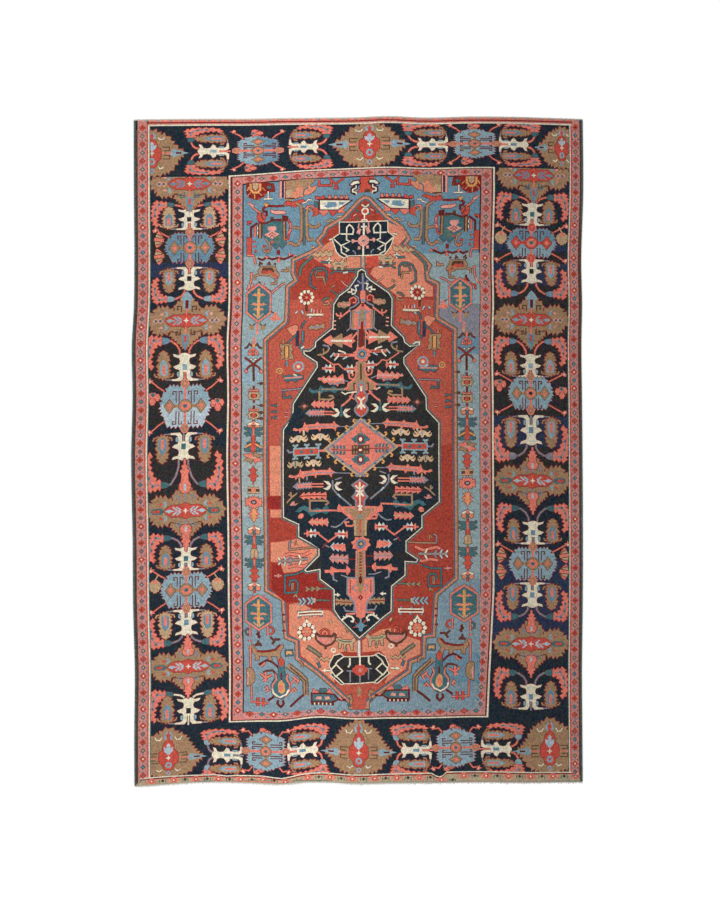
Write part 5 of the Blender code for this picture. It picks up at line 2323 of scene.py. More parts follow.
@dataclass(frozen=True)
class Medallion:
    """The dark medallion with its stem of ornaments and its central diamond.

    Attributes:
        axis: twice the way from the cartoon's left edge to the stem's own middle, in knots.
    """

    axis: float = 722.6

    def outline(self) -> list[Point]:
        """The medallion's outline, clockwise on the drawing.

        Returns:
            Its corners.
        """
        right = [(361.5, 270.4), (364.8, 272.4), (365.6, 277), (370, 281.6), (388, 294.5), (391.5, 300),
                 (391.5, 327), (404, 338.5), (405.5, 343.5)]
        right += [(411, 347.5), (418.6, 346), (404.5, 358), (404.5, 364.5), (426, 397.5), (426.5, 410),
                  (439, 423.5)]
        right += [(439, 502), (421.5, 516), (421.5, 527.5), (405.5, 541.5), (405.5, 552.5), (417, 560),
                  (416, 562)]
        right += [(404.5, 561.5), (404.5, 575.5), (391, 586.5), (390.5, 611.5), (383, 617), (359, 637)]
        left = [(358.4, 272.4), (357.8, 277), (349, 289.5), (339.5, 296.5), (334, 305.5), (334, 329),
                (317.5, 343), (317, 348)]
        left += [(311, 352.5), (305.6, 352), (306, 354.5), (318.5, 363), (319, 368), (294.5, 404)]
        left += [(294, 417.5), (285, 429.5), (284.5, 516.5), (299.5, 524.5), (299.5, 537), (319.5, 549.5)]
        left += [(319.5, 557.5), (305.5, 571), (307, 572.5), (320.5, 570.5), (320.5, 580.5), (334.5, 590.5)]
        left += [(334.5, 610.5), (339.5, 618)]
        return right + left[::-1]

    def draw_lattices(self, paper: Stencil) -> None:
        """Draws the ivory trellis boxes above and below the medallion.

        Args:
            paper: the stencil to draw on.
        """
        upper = [(339.4, 223), (363.6, 223), (387, 223), (387.4, 233.6), (393.4, 238.2), (391, 246),
                 (389, 250)]
        upper += [(384, 256), (378.6, 255.6), (363.6, 255.8), (348.4, 255.8), (344, 258), (339.6, 255.4),
                  (336.6, 252)]
        upper += [(334.6, 246), (332.4, 239.6), (339.6, 234.4)]
        paper.edged(upper, NAVY, IVORY, 0.9)
        for half in (paper, paper.mirror(726.6, 0.6)):
            for path in (
                [(340, 234.4), (352.6, 234.6), (353.4, 230), (351.4, 227), (349, 225), (346.4, 228),
                 (346.4, 240.4), (350, 241.8), (341, 246.2), (333.6, 239.6)],
                [(341, 246), (341.4, 253), (347, 256)],
                [(343, 247), (348.6, 250.4), (346, 252)],
            ):
                half.line(path, 1.3, IVORY)
            half.line([(358.6, 224), (358, 228.6), (361, 231)], 1.4, PINK)
            half.fill([(358.2, 229), (360.4, 232), (359.6, 235.4), (356, 233.4)], PINK)
            half.line([(353, 241.6), (363, 241.6)], 1.4, PINK)
            half.fill([(351.6, 239.8), (354, 239.6), (354.6, 242), (352.6, 244), (351.2, 242)], PINK)
            half.fill([(358, 246.6), (360.4, 247.4), (360.4, 250), (357.6, 250)], PINK)
            half.line([(352.6, 251), (355, 252.6), (355.6, 255)], 1.2, GREY)
        paper.line([(364, 214), (364, 223)], 1.2, IVORY)
        paper.line([(361, 222), (362, 220.6), (366, 220.6), (367, 222)], 1.2, IVORY)
        paper.line([(363.6, 224), (363.6, 236)], 2, IVORY)
        paper.line([(360.6, 227.4), (366.8, 227.4)], 1.6, IVORY)
        paper.disc(363.4, 241.4, 5.8, 5.8, 8, PINK)
        paper.disc(363.4, 241.4, 1.5, 1.5, 4, TEAL)
        paper.line([(363.2, 246.6), (363.2, 256)], 1.8, IVORY)
        lower = [(333.4, 657), (340, 654.8), (343.6, 657.4), (373, 656.2), (378, 653.6), (384.6, 657.4),
                 (388, 665.6)]
        lower += [(386, 669.6), (388.4, 673.6), (376.6, 683), (373, 681.6), (359, 682.6), (345, 683.4),
                  (340.6, 684.6)]
        lower += [(330.6, 676.6), (331.4, 671.6), (329, 667.6), (329.6, 664.4)]
        paper.edged(lower, NIGHT, IVORY, 0.9)
        for half in (paper, paper.mirror(717.6, 2.4)):
            half.line([(343, 657), (337, 662), (335, 665), (342, 671.4), (335, 677.6), (330, 671.6),
                       (335, 666)], 1.3, IVORY)
            half.line([(335, 677), (343.4, 684)], 1.2, IVORY)
            half.line([(349.4, 658), (349.4, 664.6), (347.4, 667)], 1.7, IVORY)
            half.line([(346, 671), (354, 670.6)], 1.3, GREY)
            half.line([(349.6, 671), (349.6, 682)], 1.3, GREY)
        paper.fill(toothed([(357, 664.6), (362, 664.6), (367, 669.4), (362, 675), (357, 675),
                            (351.6, 670)], 3, 1.2), RED)
        paper.fill([(357.6, 669), (360, 667.4), (362, 669), (361.4, 672), (358.4, 672)], ROSE)
        paper.line([(359.4, 655), (359.4, 665)], 1.7, IVORY)
        paper.line([(359.4, 675), (359.4, 684)], 1.4, GREY)

    def draw_left(self, half: Stencil) -> None:
        """Draws one half of what lies on the dark ground.

        Args:
            half: the stencil to draw on, of either half.
        """
        draw_figures(MEDALLION_TOP, half)
        blossom(half, 324, 369.4)
        blossom(half, 345.6, 369.4)
        draw_figures(MEDALLION_MIDDLE, half)
        Fans(5, 4.6, 4.2, CORAL, ROSE).draw(half, 311.4, 405.4)
        rocket(half, 305.6, 414, GREY)
        claws(half, 342, 413.4)
        bird(half, 299.8, 439.4, CREAM)
        bird(half, 321.4, 438.2, CREAM)
        self.draw_panel(half)
        bird(half, 296.6, 464.8, SAND, 0.85)
        bird(half, 314.6, 464.4, CREAM, 0.85)
        half.line([(296.6, 461.6), (296.6, 467)], 1.4, TEAL)
        rocket(half, 293.4, 486.6, GREY)
        claws(half, 333.6, 486.8)
        Fans(5, 5.4, 4, CORAL, DEEP_RED).draw(half, 300, 497)
        Fans(4, 4.9, 4.4, CORAL, SAND).draw(half, 308.6, 523.4)
        draw_figures(MEDALLION_BOTTOM, half)
        blossom(half, 318.6, 534.6, -1)
        blossom(half, 336, 534.6)

    def draw_panel(self, half: Stencil) -> None:
        """Draws the scalloped panel beside the diamond.

        Args:
            half: the stencil to draw on, of either half.
        """
        half.line([(319, 452), (327, 452)], 2.2, CORAL)
        half.block(294.4, 448.4, 320.4, 456.6, MIST)
        half.line([(294, 452.6), (290.6, 452.4), (288.6, 449.4)], 1.4, GREY)
        for x in (296.6, 308, 319.4):
            for side in (-1, 1):
                knob = half.at(x, 452.4, along=side)
                knob.fill([(-1.2, -3.4), (-1.2, -5.4), (-3, -6), (-2.6, -8), (0, -7.2), (2.6, -8), (3, -6),
                           (1.2, -5.4), (1.2, -3.4)], MIST)
        half.block(295.8, 449.8, 319.2, 455.2, RED)
        for x in (302.6, 312.6):
            half.disc(x, 452.5, 1.9, 1.9, 6, TEAL)

    def draw_diamond(self, paper: Stencil) -> None:
        """Draws the coral diamond in the middle.

        Args:
            paper: the stencil to draw on.
        """
        tips = ((361.5, 418), (399.4, 447.6), (361, 477.6), (324, 450.6))
        paper.fill(tips, SAND)
        for start, end in zip(tips, tips[1:] + tips[:1]):
            for share in (0.2, 0.42, 0.64, 0.84):
                x, y = start[0] + (end[0] - start[0]) * share, start[1] + (end[1] - start[1]) * share
                out_x, out_y = math.copysign(1, x - 361.4), math.copysign(1, y - 449)
                hook = paper.at(x, y, out_x, out_y)
                hook.line([(-1, -0.4), (1.6, 2), (1, 3.6), (-0.6, 3.4)], 1.5, GOLD)
        for inset, dye in ((2.2, GREY), (4.8, CORAL)):
            paper.fill([(361.5, 418 + inset * 0.9), (399.4 - inset * 1.25, 447.7), (361, 477.6 - inset * 0.9),
                        (324 + inset * 1.25, 450.4)], dye)
        for x, y in ((336, 440), (346, 433), (352, 429), (352, 466), (344, 462), (336, 459), (386, 439),
                     (378, 432), (371, 428), (384, 458), (376, 464)):
            paper.disc(x, y, 1.7, 1.3, 5, TEAL)
        for x, way in ((346.6, -1), (376, 1)):
            y = 450.4 if way < 0 else 449
            for index in range(4):
                spot = paper.at(x + way * index * 3.4, y, across=way)
                for side in (-1, 1):
                    spot.at(along=side).fill([(0, 1), (2.6, 1), (2.2, 3), (3.6, 4.6), (1, 4.6), (0, 3)], TEAL)
            paper.line([(x - way * 22, y), (x + way * 14, y)], 0.9, DEEP_RED)
        paper.fill([(352.8, 445.4), (370.4, 445), (370.4, 454.4), (352.8, 454.8)], BROWN)
        for x, y in ((355, 447.4), (357.8, 447.4), (365.4, 447.4), (368.2, 447.4), (355, 452.4),
                     (357.8, 452.4), (365.4, 452.4), (368.2, 452.4)):
            paper.disc(x, y, 1.1, 1.7, 4, CAMEL)
        for y in (439.4, 459.8):
            flower = paper.at(361.5, y)
            flower.fill(toothed([(0, -6.4), (8.8, 0), (0, 5.6), (-8.8, 0)], 3.6, 1.5, 0), TEAL)
            flower.disc(0, 0, 3.6, 4, 8, DEEP_RED)
            flower.disc(0, 0, 1.7, 2.4, 6, IVORY)
        paper.disc(361.4, 450.2, 3.2, 2.6, 8, DEEP_RED)
        paper.disc(361.4, 450.2, 1.8, 1.2, 6, IVORY)
        paper.line([(361.6, 427), (361.6, 434)], 1.5, CAMEL)
        paper.line([(361.4, 465.6), (361.4, 470)], 1.6, SAND)
        for y, along in ((420, 1), (476.6, -1)):
            for side in (-1, 1):
                paper.at(361.4, y, side, along).line([(1, 2), (3.4, 0), (5, 1), (4.4, 3)], 1.3, GREY)

    def draw_rosette(self, paper: Stencil, x: float, y: float, wide: float, high: float) -> None:
        """Draws one of the coral rosettes on the stem.

        Args:
            paper: the stencil to draw on.
            x: its place, to the right, in knots.
            y: its place, downwards, in knots.
            wide: half its width, in knots.
            high: half its height, in knots.
        """
        rosette = paper.at(x, y)
        star = rosette.ring(0, 0, wide + 0.6, high + 0.6, 16)
        rosette.fill([(px * share, py * share) for (px, py), share in zip(star, (1, 0.78) * 8)], CORAL)
        for r, dye in ((5.6, RED), (4.9, MID_BLUE), (3, BROWN), (1.7, SAND)):
            rosette.disc(0, 0, r, r, 8, dye)

    def draw(self, paper: Stencil) -> None:
        """Draws the whole medallion.

        Args:
            paper: the stencil to draw on.
        """
        outline = self.outline()
        for curl in ([(306.4, 353), (303.4, 351), (302.8, 348.6), (305.4, 347)],
                     [(413, 346), (417, 342.6), (420.6, 342.6), (420.4, 345), (417.6, 346.6)]):
            paper.line(curl, 1.4, IVORY, TEAL)
        paper.edged(outline, NIGHT, TEAL, 2.6)
        paper.edged(outline, NIGHT, MAROON, 1.5)
        paper.edged(outline, NIGHT, IVORY, 0.9)
        for shade in (
            [(298, 404), (311, 404), (300, 425), (330, 427), (330, 436), (286, 434), (286, 430)],
            [(286, 508), (320, 500), (339, 496), (357, 508), (357, 540), (320, 551), (300, 536), (300, 524),
             (286, 515)],
            [(322, 551), (357, 545), (357, 620), (359, 634), (341, 617), (336, 610), (336, 590), (322, 579),
             (322, 568)],
            [(372, 500), (422, 492), (437, 480), (437, 501), (420, 514), (420, 526), (404, 540), (404, 553),
             (368, 556)],
            [(368, 550), (400, 560), (403, 563), (403, 574), (389, 586), (389, 610), (360, 634), (366, 610)],
        ):
            paper.fill(shade, NAVY)
        right = paper.at(722.8, 4.4, across=-1, along=0.978)
        for half, upper, lower in ((paper, 428, 474.6), (right, 430.6, 475.6)):
            self.draw_left(half)
            dragon(half, 318, upper, CORAL, GREY)
            dragon(half, 314, lower, CORAL, GREY)
        for half in (paper, paper.mirror(722.2, 3.2)):
            Fans(3, 4.4, 4.6, PALE_BLUE, CORAL).draw(half, 330, 547.6)
            half.fill([(333, 545.6), (345, 544), (346, 551.6), (333, 549.6)], CORAL)
            Fans(4, 4.8, 5.2, ROSE, GREY).draw(half, 329, 559.4)
            draw_figures(MEDALLION_LOW, half)
        for half in (paper, paper.mirror(720, 1.4)):
            Fans(4, 4.6, 4, CAMEL, DEEP_RED).draw(half, 354, 602.4, -1)
            draw_figures(MEDALLION_FOOT, half)
        for figures, axis in ((SPINE_TOP, 725.4), (SPINE_MIDDLE, 723.8), (SPINE_BOTTOM, 721)):
            shift = (axis - self.axis) / 2
            draw_figures(figures, paper.at(shift))
            draw_figures(figures, paper.at(self.axis + shift, across=-1))
        self.draw_rosette(paper, 363.2, 354.6, 8.4, 8)
        self.draw_rosette(paper, 361, 543.8, 9.6, 7.6)
        self.draw_diamond(paper)
        self.draw_lattices(paper)


# ---------------------------------------------------------------- the whole cartoon


def draw_cartoon(cartoon: Cartoon) -> None:
    """Draws the carpet's whole pattern on the sheet.

    Args:
        cartoon: the sheet.
    """
    paper = Stencil(cartoon)
    draw_ground(paper, LEFT_GROUND, 128, 358)
    draw_ground(paper, RIGHT_GROUND, 358, 588)
    MainBorder().draw(paper)
    frames = Frames()
    frames.draw_outer(paper)
    frames.draw_end_stripes(paper)
    OUTER_GUARD.draw(paper)
    frames.draw_inner(paper)
    Field().draw(paper)
    Medallion().draw(paper)
    INNER_GUARD.draw(paper)


# ---------------------------------------------------------------- finishes


def new_group(
    name: str, inputs: Sequence[tuple[str, str]], outputs: Sequence[tuple[str, str]]
) -> tuple[bpy.types.NodeTree, bpy.types.Node, bpy.types.Node]:
    """Starts a shader node group.

    Args:
        name: its name.
        inputs: each input's name and socket type.
        outputs: each output's name and socket type.

    Returns:
        The node tree, its input node and its output node.
    """
    tree = bpy.data.node_groups.new(name, "ShaderNodeTree")
    for in_out, sockets in (("INPUT", inputs), ("OUTPUT", outputs)):
        for socket, kind in sockets:
            tree.interface.new_socket(socket, in_out=in_out, socket_type=kind)
    return tree, tree.nodes.new("NodeGroupInput"), tree.nodes.new("NodeGroupOutput")


def calculate(
    tree: bpy.types.NodeTree, operation: str, *values: bpy.types.NodeSocket | float
) -> bpy.types.NodeSocket:
    """Adds a Math node, fed by sockets or numbers.

    Args:
        tree: the node tree.
        operation: of the node.
        values: a socket or a number for each of its inputs.

    Returns:
        The node's output.
    """
    node = tree.nodes.new("ShaderNodeMath")
    node.operation = operation
    for socket, value in zip(node.inputs, values):
        if isinstance(value, bpy.types.NodeSocket):
            tree.links.new(value, socket)
        else:
            socket.default_value = value
    return node.outputs[0]


def combine(
    tree: bpy.types.NodeTree,
    operation: str,
    colour: bpy.types.NodeSocket,
    other: bpy.types.NodeSocket | Sequence[float] | float,
) -> bpy.types.NodeSocket:
    """Adds a Vector Math node, fed by a colour and by a socket, a colour or, for SCALE, a number.

    Args:
        tree: the node tree.
        operation: of the node.
        colour: its first input.
        other: its second input, or its scale.

    Returns:
        The node's output.
    """
    node = tree.nodes.new("ShaderNodeVectorMath")
    node.operation = operation
    tree.links.new(colour, node.inputs[0])
    socket = node.inputs["Scale" if operation == "SCALE" else 1]
    if isinstance(other, bpy.types.NodeSocket):
        tree.links.new(other, socket)
    else:
        socket.default_value = other
    return node.outputs[0]


def stretched_noise(
    tree: bpy.types.NodeTree, place: bpy.types.NodeSocket, scale: Point, detail: float
) -> bpy.types.NodeSocket:
    """Adds a noise that is stretched along the carpet's width or length.

    Args:
        tree: the node tree.
        place: the coordinates, in metres.
        scale: how many features there are in a metre, across and along.
        detail: of the noise.

    Returns:
        The noise, from 0 to 1 with its middle at 0.5.
    """
    mapping = tree.nodes.new("ShaderNodeMapping")
    mapping.inputs["Scale"].default_value = (*scale, scale[0])
    tree.links.new(place, mapping.inputs["Vector"])
    noise = tree.nodes.new("ShaderNodeTexNoise")
    noise.inputs["Scale"].default_value = 1
    noise.inputs["Detail"].default_value = detail
    tree.links.new(mapping.outputs["Vector"], noise.inputs["Vector"])
    return noise.outputs["Fac"]


@dataclass(frozen=True)
class WoolCloth:
    """A matt woollen or cotton surface of many small, uneven stitches, with painted shade towards the
    carpet's sides.

    Attributes:
        name: of the material.
        colour: of the yarn, or None where the mesh's own dye attribute holds it.
        stitch: width and length of one stitch, in metres.
        jitter: how much the stitches differ in brightness.
        streak: how much the rows differ.
        fade: how much large areas differ.
        relief: how far a stitch stands up, in metres.
        roughness: of the surface.
        sheen: of the fibres.
    """

    name: str
    colour: tuple[float, float, float] | None
    stitch: Point
    jitter: float
    streak: float
    fade: float
    relief: float
    roughness: float = 0.92
    sheen: float = 0.03

    GROUP = "uneven stitches"

    # How much the stitches differ in hue, as a share of how much they differ in brightness.
    LINT = 0.5

    # Painted shade: the colour is made darker towards both sides of the carpet, and most on the right: from
    # and to in metres across, and the brightness there.
    PAINTED_SIDE_SHADE = ((-1.2, -0.5, 0.83, 1.0), (-0.25, 0.85, 0.88, 0.54))

    @classmethod
    def group(cls) -> bpy.types.NodeTree:
        """The node group that all woven surfaces share: it shades a colour stitch by stitch, and darkens it
        towards the carpet's sides as painted shade.

        Returns:
            The node tree.
        """
        made = bpy.data.node_groups.get(cls.GROUP)
        if made:
            return made
        names = ("Across", "Along", "Jitter", "Streak", "Fade")
        tree, start, end = new_group(
            cls.GROUP,
            [("Colour", "NodeSocketColor"), *((name, "NodeSocketFloat") for name in names)],
            [("Colour", "NodeSocketColor"), ("Height", "NodeSocketFloat")],
        )
        place = tree.nodes.new("ShaderNodeTexCoord").outputs["Object"]
        split = tree.nodes.new("ShaderNodeSeparateXYZ")
        tree.links.new(place, split.inputs[0])
        columns = calculate(tree, "DIVIDE", split.outputs[0], start.outputs["Across"])
        rows = calculate(tree, "DIVIDE", split.outputs[1], start.outputs["Along"])
        cell = tree.nodes.new("ShaderNodeCombineXYZ")
        tree.links.new(calculate(tree, "FLOOR", columns), cell.inputs[0])
        tree.links.new(calculate(tree, "FLOOR", rows), cell.inputs[1])
        chance = tree.nodes.new("ShaderNodeTexWhiteNoise")
        tree.links.new(cell.outputs[0], chance.inputs["Vector"])

        def swing(value: bpy.types.NodeSocket, share: bpy.types.NodeSocket) -> bpy.types.NodeSocket:
            """A factor of 1, more or less by a share of the value's distance from its middle."""
            return calculate(tree, "MULTIPLY_ADD", calculate(tree, "SUBTRACT", value, 0.5), share, 1.0)

        factors = (
            swing(chance.outputs["Value"], start.outputs["Jitter"]),
            swing(stretched_noise(tree, place, (3.0, 150.0), 3), start.outputs["Streak"]),
            swing(stretched_noise(tree, place, (2.2, 5.0), 4), start.outputs["Fade"]),
        )
        factor = calculate(tree, "MULTIPLY", calculate(tree, "MULTIPLY", *factors[:2]), factors[2])
        # Painted shade: each range darkens the colour towards one side of the carpet.
        for bounds in cls.PAINTED_SIDE_SHADE:
            painted_side_shade = tree.nodes.new("ShaderNodeMapRange")
            tree.links.new(split.outputs[0], painted_side_shade.inputs["Value"])
            for name, value in zip(("From Min", "From Max", "To Min", "To Max"), bounds):
                painted_side_shade.inputs[name].default_value = value
            factor = calculate(tree, "MULTIPLY", factor, painted_side_shade.outputs["Result"])
        shaded = start.outputs["Colour"]
        hues = combine(tree, "SUBTRACT", chance.outputs["Color"], (0.5, 0.5, 0.5))
        lint = combine(tree, "SCALE", hues, calculate(tree, "MULTIPLY", start.outputs["Jitter"], cls.LINT))
        mottle = combine(tree, "ADD", lint, (1, 1, 1))
        speck = combine(tree, "SCALE", lint, 0.1)
        for operation, other in (("SCALE", factor), ("MULTIPLY", mottle), ("ADD", speck)):
            shaded = combine(tree, operation, shaded, other)
        tree.links.new(shaded, end.inputs["Colour"])

        rib = calculate(tree, "SINE", calculate(tree, "MULTIPLY", columns, 2 * math.pi))
        row = calculate(tree, "SINE", calculate(tree, "MULTIPLY", rows, 2 * math.pi))
        fibre = stretched_noise(tree, place, (700.0, 700.0), 3)
        bead = calculate(tree, "MULTIPLY_ADD", calculate(tree, "ADD", rib, row), 0.18, fibre)
        height = calculate(tree, "MULTIPLY_ADD", chance.outputs["Value"], 0.35, bead)
        tree.links.new(height, end.inputs["Height"])
        return tree

    def material(self) -> bpy.types.Material:
        """Makes the material.

        Returns:
            The material.
        """
        made = bpy.data.materials.new(self.name)
        made.use_nodes = True
        tree = made.node_tree
        shader = tree.nodes["Principled BSDF"]
        shader.inputs["Roughness"].default_value = self.roughness
        shader.inputs["Sheen Weight"].default_value = self.sheen
        shader.inputs["Sheen Roughness"].default_value = 0.6
        shader.inputs["Specular IOR Level"].default_value = 0.06
        # The group gives the stitches' uneven tone and the painted shade towards the carpet's sides.
        stitches = tree.nodes.new("ShaderNodeGroup")
        stitches.node_tree = self.group()
        for socket, value in zip(
            ("Across", "Along", "Jitter", "Streak", "Fade"),
            (*self.stitch, self.jitter, self.streak, self.fade),
        ):
            stitches.inputs[socket].default_value = value
        if self.colour is None:
            dye = tree.nodes.new("ShaderNodeVertexColor")
            dye.layer_name = KnottedPile.DYE_LAYER
            tree.links.new(dye.outputs["Color"], stitches.inputs["Colour"])
        else:
            stitches.inputs["Colour"].default_value = (*self.colour, 1)
        bump = tree.nodes.new("ShaderNodeBump")
        bump.inputs["Strength"].default_value = 0.7
        bump.inputs["Distance"].default_value = self.relief
        tree.links.new(stitches.outputs["Colour"], shader.inputs["Base Color"])
        tree.links.new(stitches.outputs["Height"], bump.inputs["Height"])
        tree.links.new(bump.outputs["Normal"], shader.inputs["Normal"])
        return made


# ---------------------------------------------------------------- the pieces


def read_off(rows: Sequence[NamedTuple], column: str, share: float) -> float:
    """Reads a column of a wander table on a smooth curve through its rows.

    Args:
        rows: the table, whose first column is the share.
        column: the column's name.
        share: where to read it.

    Returns:
        The column's value there, in metres.
    """
    values = [getattr(row, column) for row in rows]
    after = next((i for i, row in enumerate(rows) if row[0] >= share), len(rows) - 1)
    after = max(after, 1)
    before = after - 1
    span = rows[after][0] - rows[before][0]
    t = min(max((share - rows[before][0]) / span, 0.0), 1.0)

    def slope(i: int) -> float:
        """How steeply the column runs at a row."""
        low, high = max(i - 1, 0), min(i + 1, len(rows) - 1)
        return (values[high] - values[low]) / (rows[high][0] - rows[low][0])

    return (
        values[before] * (1 + 2 * t) * (1 - t) ** 2
        + values[after] * t**2 * (3 - 2 * t)
        + span * t * (1 - t) * (slope(before) * (1 - t) - slope(after) * t)
    )


@dataclass
class UnevenWeave:
    """Bends what is made straight to the carpet's uneven outline, where the CAD's carpet lies.

    Attributes:
        size: the carpet's sizes.
        shift: what moves the bent carpet on to the CAD's.
    """

    size: RugSize = SIZE
    shift: Vector = field(default_factory=lambda: Vector((0, 0)))

    # At how many places each half of an edge is measured.
    SAMPLES = 200

    def __post_init__(self) -> None:
        """Finds the shift that lays the bent outline on the CAD's."""
        half_x, half_y = self.size.pile_half
        steps = [k / self.SAMPLES - 1 for k in range(2 * self.SAMPLES + 1)]
        edge = [self.bend(half_x * t, side * half_y) for t in steps for side in (-1, 1)]
        edge += [self.bend(side * half_x, half_y * t) for t in steps for side in (-1, 1)]
        low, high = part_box("carpet")
        self.shift = Vector(
            (low[axis] + high[axis] - min(p[axis] for p in edge) - max(p[axis] for p in edge)) / 2
            for axis in (0, 1)
        )

    def bend(self, x: float, y: float) -> Point:
        """Where a point of the straight carpet lies on the uneven one.

        Args:
            x: of the point, in metres.
            y: of the point, in metres.

        Returns:
            Its place there.
        """
        across, along = x / self.size.width + 0.5, y / self.size.length + 0.5
        left = -read_off(SIDE_WANDER, "left", along)
        right = read_off(SIDE_WANDER, "right", along)
        lower = -read_off(END_WANDER, "lower", across)
        upper = read_off(END_WANDER, "upper", across)
        return (
            x + left * (1 - across) + right * across + self.shift.x,
            y + lower * (1 - along) + upper * along + self.shift.y,
        )

    def finish(
        self, name: str, bm: bmesh.types.BMesh, material: bpy.types.Material, node: str, slot: str
    ) -> bpy.types.Object:
        """Bends a mesh that was made straight and keeps it as a piece of the carpet.

        Args:
            name: of the piece.
            bm: its mesh, which is freed.
            material: of all its faces.
            node: the CAD node that it stands for.
            slot: not used.

        Returns:
            The piece's object.
        """
        for vert in bm.verts:
            vert.co.x, vert.co.y = self.bend(vert.co.x, vert.co.y)
        mesh = bpy.data.meshes.new(name)
        bm.to_mesh(mesh)
        bm.free()
        mesh.materials.append(material)
        piece = bpy.data.objects.new(name, mesh)
        bpy.context.scene.collection.objects.link(piece)
        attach(piece, "root")
        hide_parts(node)
        return piece


@dataclass
class Pattern:
    """The cartoon as it shows, without what later patches cover.

    Attributes:
        points: corners, in knots.
        faces: each face's three corners.
        dyes: each face's wool.
    """

    points: list[Vector]
    faces: list[tuple[int, ...]]
    dyes: list[Dye]

    # The most from point to point, and how near points are joined, in knots.
    STEP = 12
    SLACK = 0.02

    # How far a patch's filled area may be off, in square knots and as a share.
    OFF, OFF_SHARE = 0.2, 0.1

    # How far a point on a seam may be off the line past it, in knots.
    STRAIGHT = 0.015

    @classmethod
    def of(cls, cartoon: Cartoon, low: Point, high: Point) -> Pattern:
        """Works out what of a cartoon shows inside a rectangle.

        Args:
            cartoon: the patches.
            low: the rectangle's upper left corner, in knots.
            high: its lower right corner.

        Returns:
            The pattern, with points at most STEP knots apart.
        """
        sheet = [low, (high[0], low[1]), high, (low[0], high[1])]
        corners: list[Vector] = []
        faces = []
        for shape in (sheet, *cartoon.shapes):
            faces.append(range(len(corners), len(corners) + len(shape)))
            corners += map(Vector, shape)
        cut = geometry.delaunay_2d_cdt(corners, [], faces, 1, cls.SLACK, True)
        covered = cls(cut[0], [], [])
        whole = covered.sound(cut[2], cut[5], (sheet, *cartoon.shapes))
        for face, patches in zip(cut[2], cut[5]):
            if 0 in patches:
                covered.faces.append(tuple(face))
                covered.dyes.append(cartoon.dyes[max(patch for patch in patches if whole[patch]) - 1])
        points, lines = covered.seams()
        across = np.arange(low[0] + cls.STEP / 2, high[0], cls.STEP)
        along = np.arange(low[1] + cls.STEP / 2, high[1], cls.STEP)
        points += [Vector((x, y)) for x in across for y in along]
        cut = geometry.delaunay_2d_cdt(points, lines, [], 1, cls.SLACK / 4, False)
        shown = cls(cut[0], [tuple(face) for face in cut[2]], [])
        shown.dyes = covered.read(shown)
        return shown

    def sound(
        self, faces: list[list[int]], patches: list[list[int]], shapes: Sequence[Path]
    ) -> list[bool]:
        """Tells which patches were filled inside their outline and not outside it.

        Args:
            faces: each face's corners.
            patches: the patches that each face is part of.
            shapes: each patch's outline.

        Returns:
            For each patch, whether its faces have its area.
        """
        filled = [0.0] * len(shapes)
        for face, parts in zip(faces, patches):
            a, b, c = (self.points[k] for k in face)
            area = abs((b - a).cross(c - a)) / 2
            for patch in parts:
                filled[patch] += area
        sound = []
        for shape, area in zip(shapes, filled):
            sound.append(abs(area - abs(signed_area(shape))) < self.OFF + self.OFF_SHARE * area)
        log.info("%d patches left out", sound.count(False))
        return sound

    def seams(self) -> tuple[list[Vector], list[tuple[int, int]]]:
        """The lines where two wools meet or the sheet ends, without needless points.

        Returns:
            The lines' points and each line's two points.
        """
        meeting: dict[tuple[int, int], list[Dye]] = {}
        for face, dye in zip(self.faces, self.dyes):
            for a, b in zip(face, (*face[1:], face[0])):
                meeting.setdefault((min(a, b), max(a, b)), []).append(dye)
        beside: dict[int, set[int]] = {}
        for (a, b), dyes in meeting.items():
            if len(dyes) == 1 or dyes[0] is not dyes[1]:
                beside.setdefault(a, set()).add(b)
                beside.setdefault(b, set()).add(a)
        for middle in list(beside):
            if len(beside[middle]) == 2:
                a, b = beside[middle]
                one, other = self.points[a] - self.points[middle], self.points[b] - self.points[middle]
                off = abs(one.cross(other))
                straight = one.dot(other) < 0 and off < self.STRAIGHT * (one - other).length
                if straight and b not in beside[a]:
                    del beside[middle]
                    beside[a].symmetric_difference_update((middle, b))
                    beside[b].symmetric_difference_update((middle, a))
        place = {old: new for new, old in enumerate(beside)}
        points = [self.points[old] for old in beside]
        lines = []
        for a, b in ((a, b) for a in beside for b in beside[a] if a < b):
            count = math.ceil((self.points[b] - self.points[a]).length / self.STEP)
            chain = [place[a], *range(len(points), len(points) + count - 1), place[b]]
            points += [self.points[a].lerp(self.points[b], k / count) for k in range(1, count)]
            lines += zip(chain, chain[1:])
        return points, lines

    def read(self, other: Pattern) -> list[Dye]:
        """The wool of this pattern under the middle of each face of another.

        Args:
            other: the other pattern.

        Returns:
            The faces' wools.
        """
        tree = BVHTree.FromPolygons([(*p, 0) for p in self.points], self.faces)
        dyes = []
        for face in other.faces:
            middle = sum((other.points[k] for k in face), Vector((0, 0))) / len(face)
            found = tree.find_nearest((*middle, 0))
            dyes.append(self.dyes[found[2]])
        return dyes


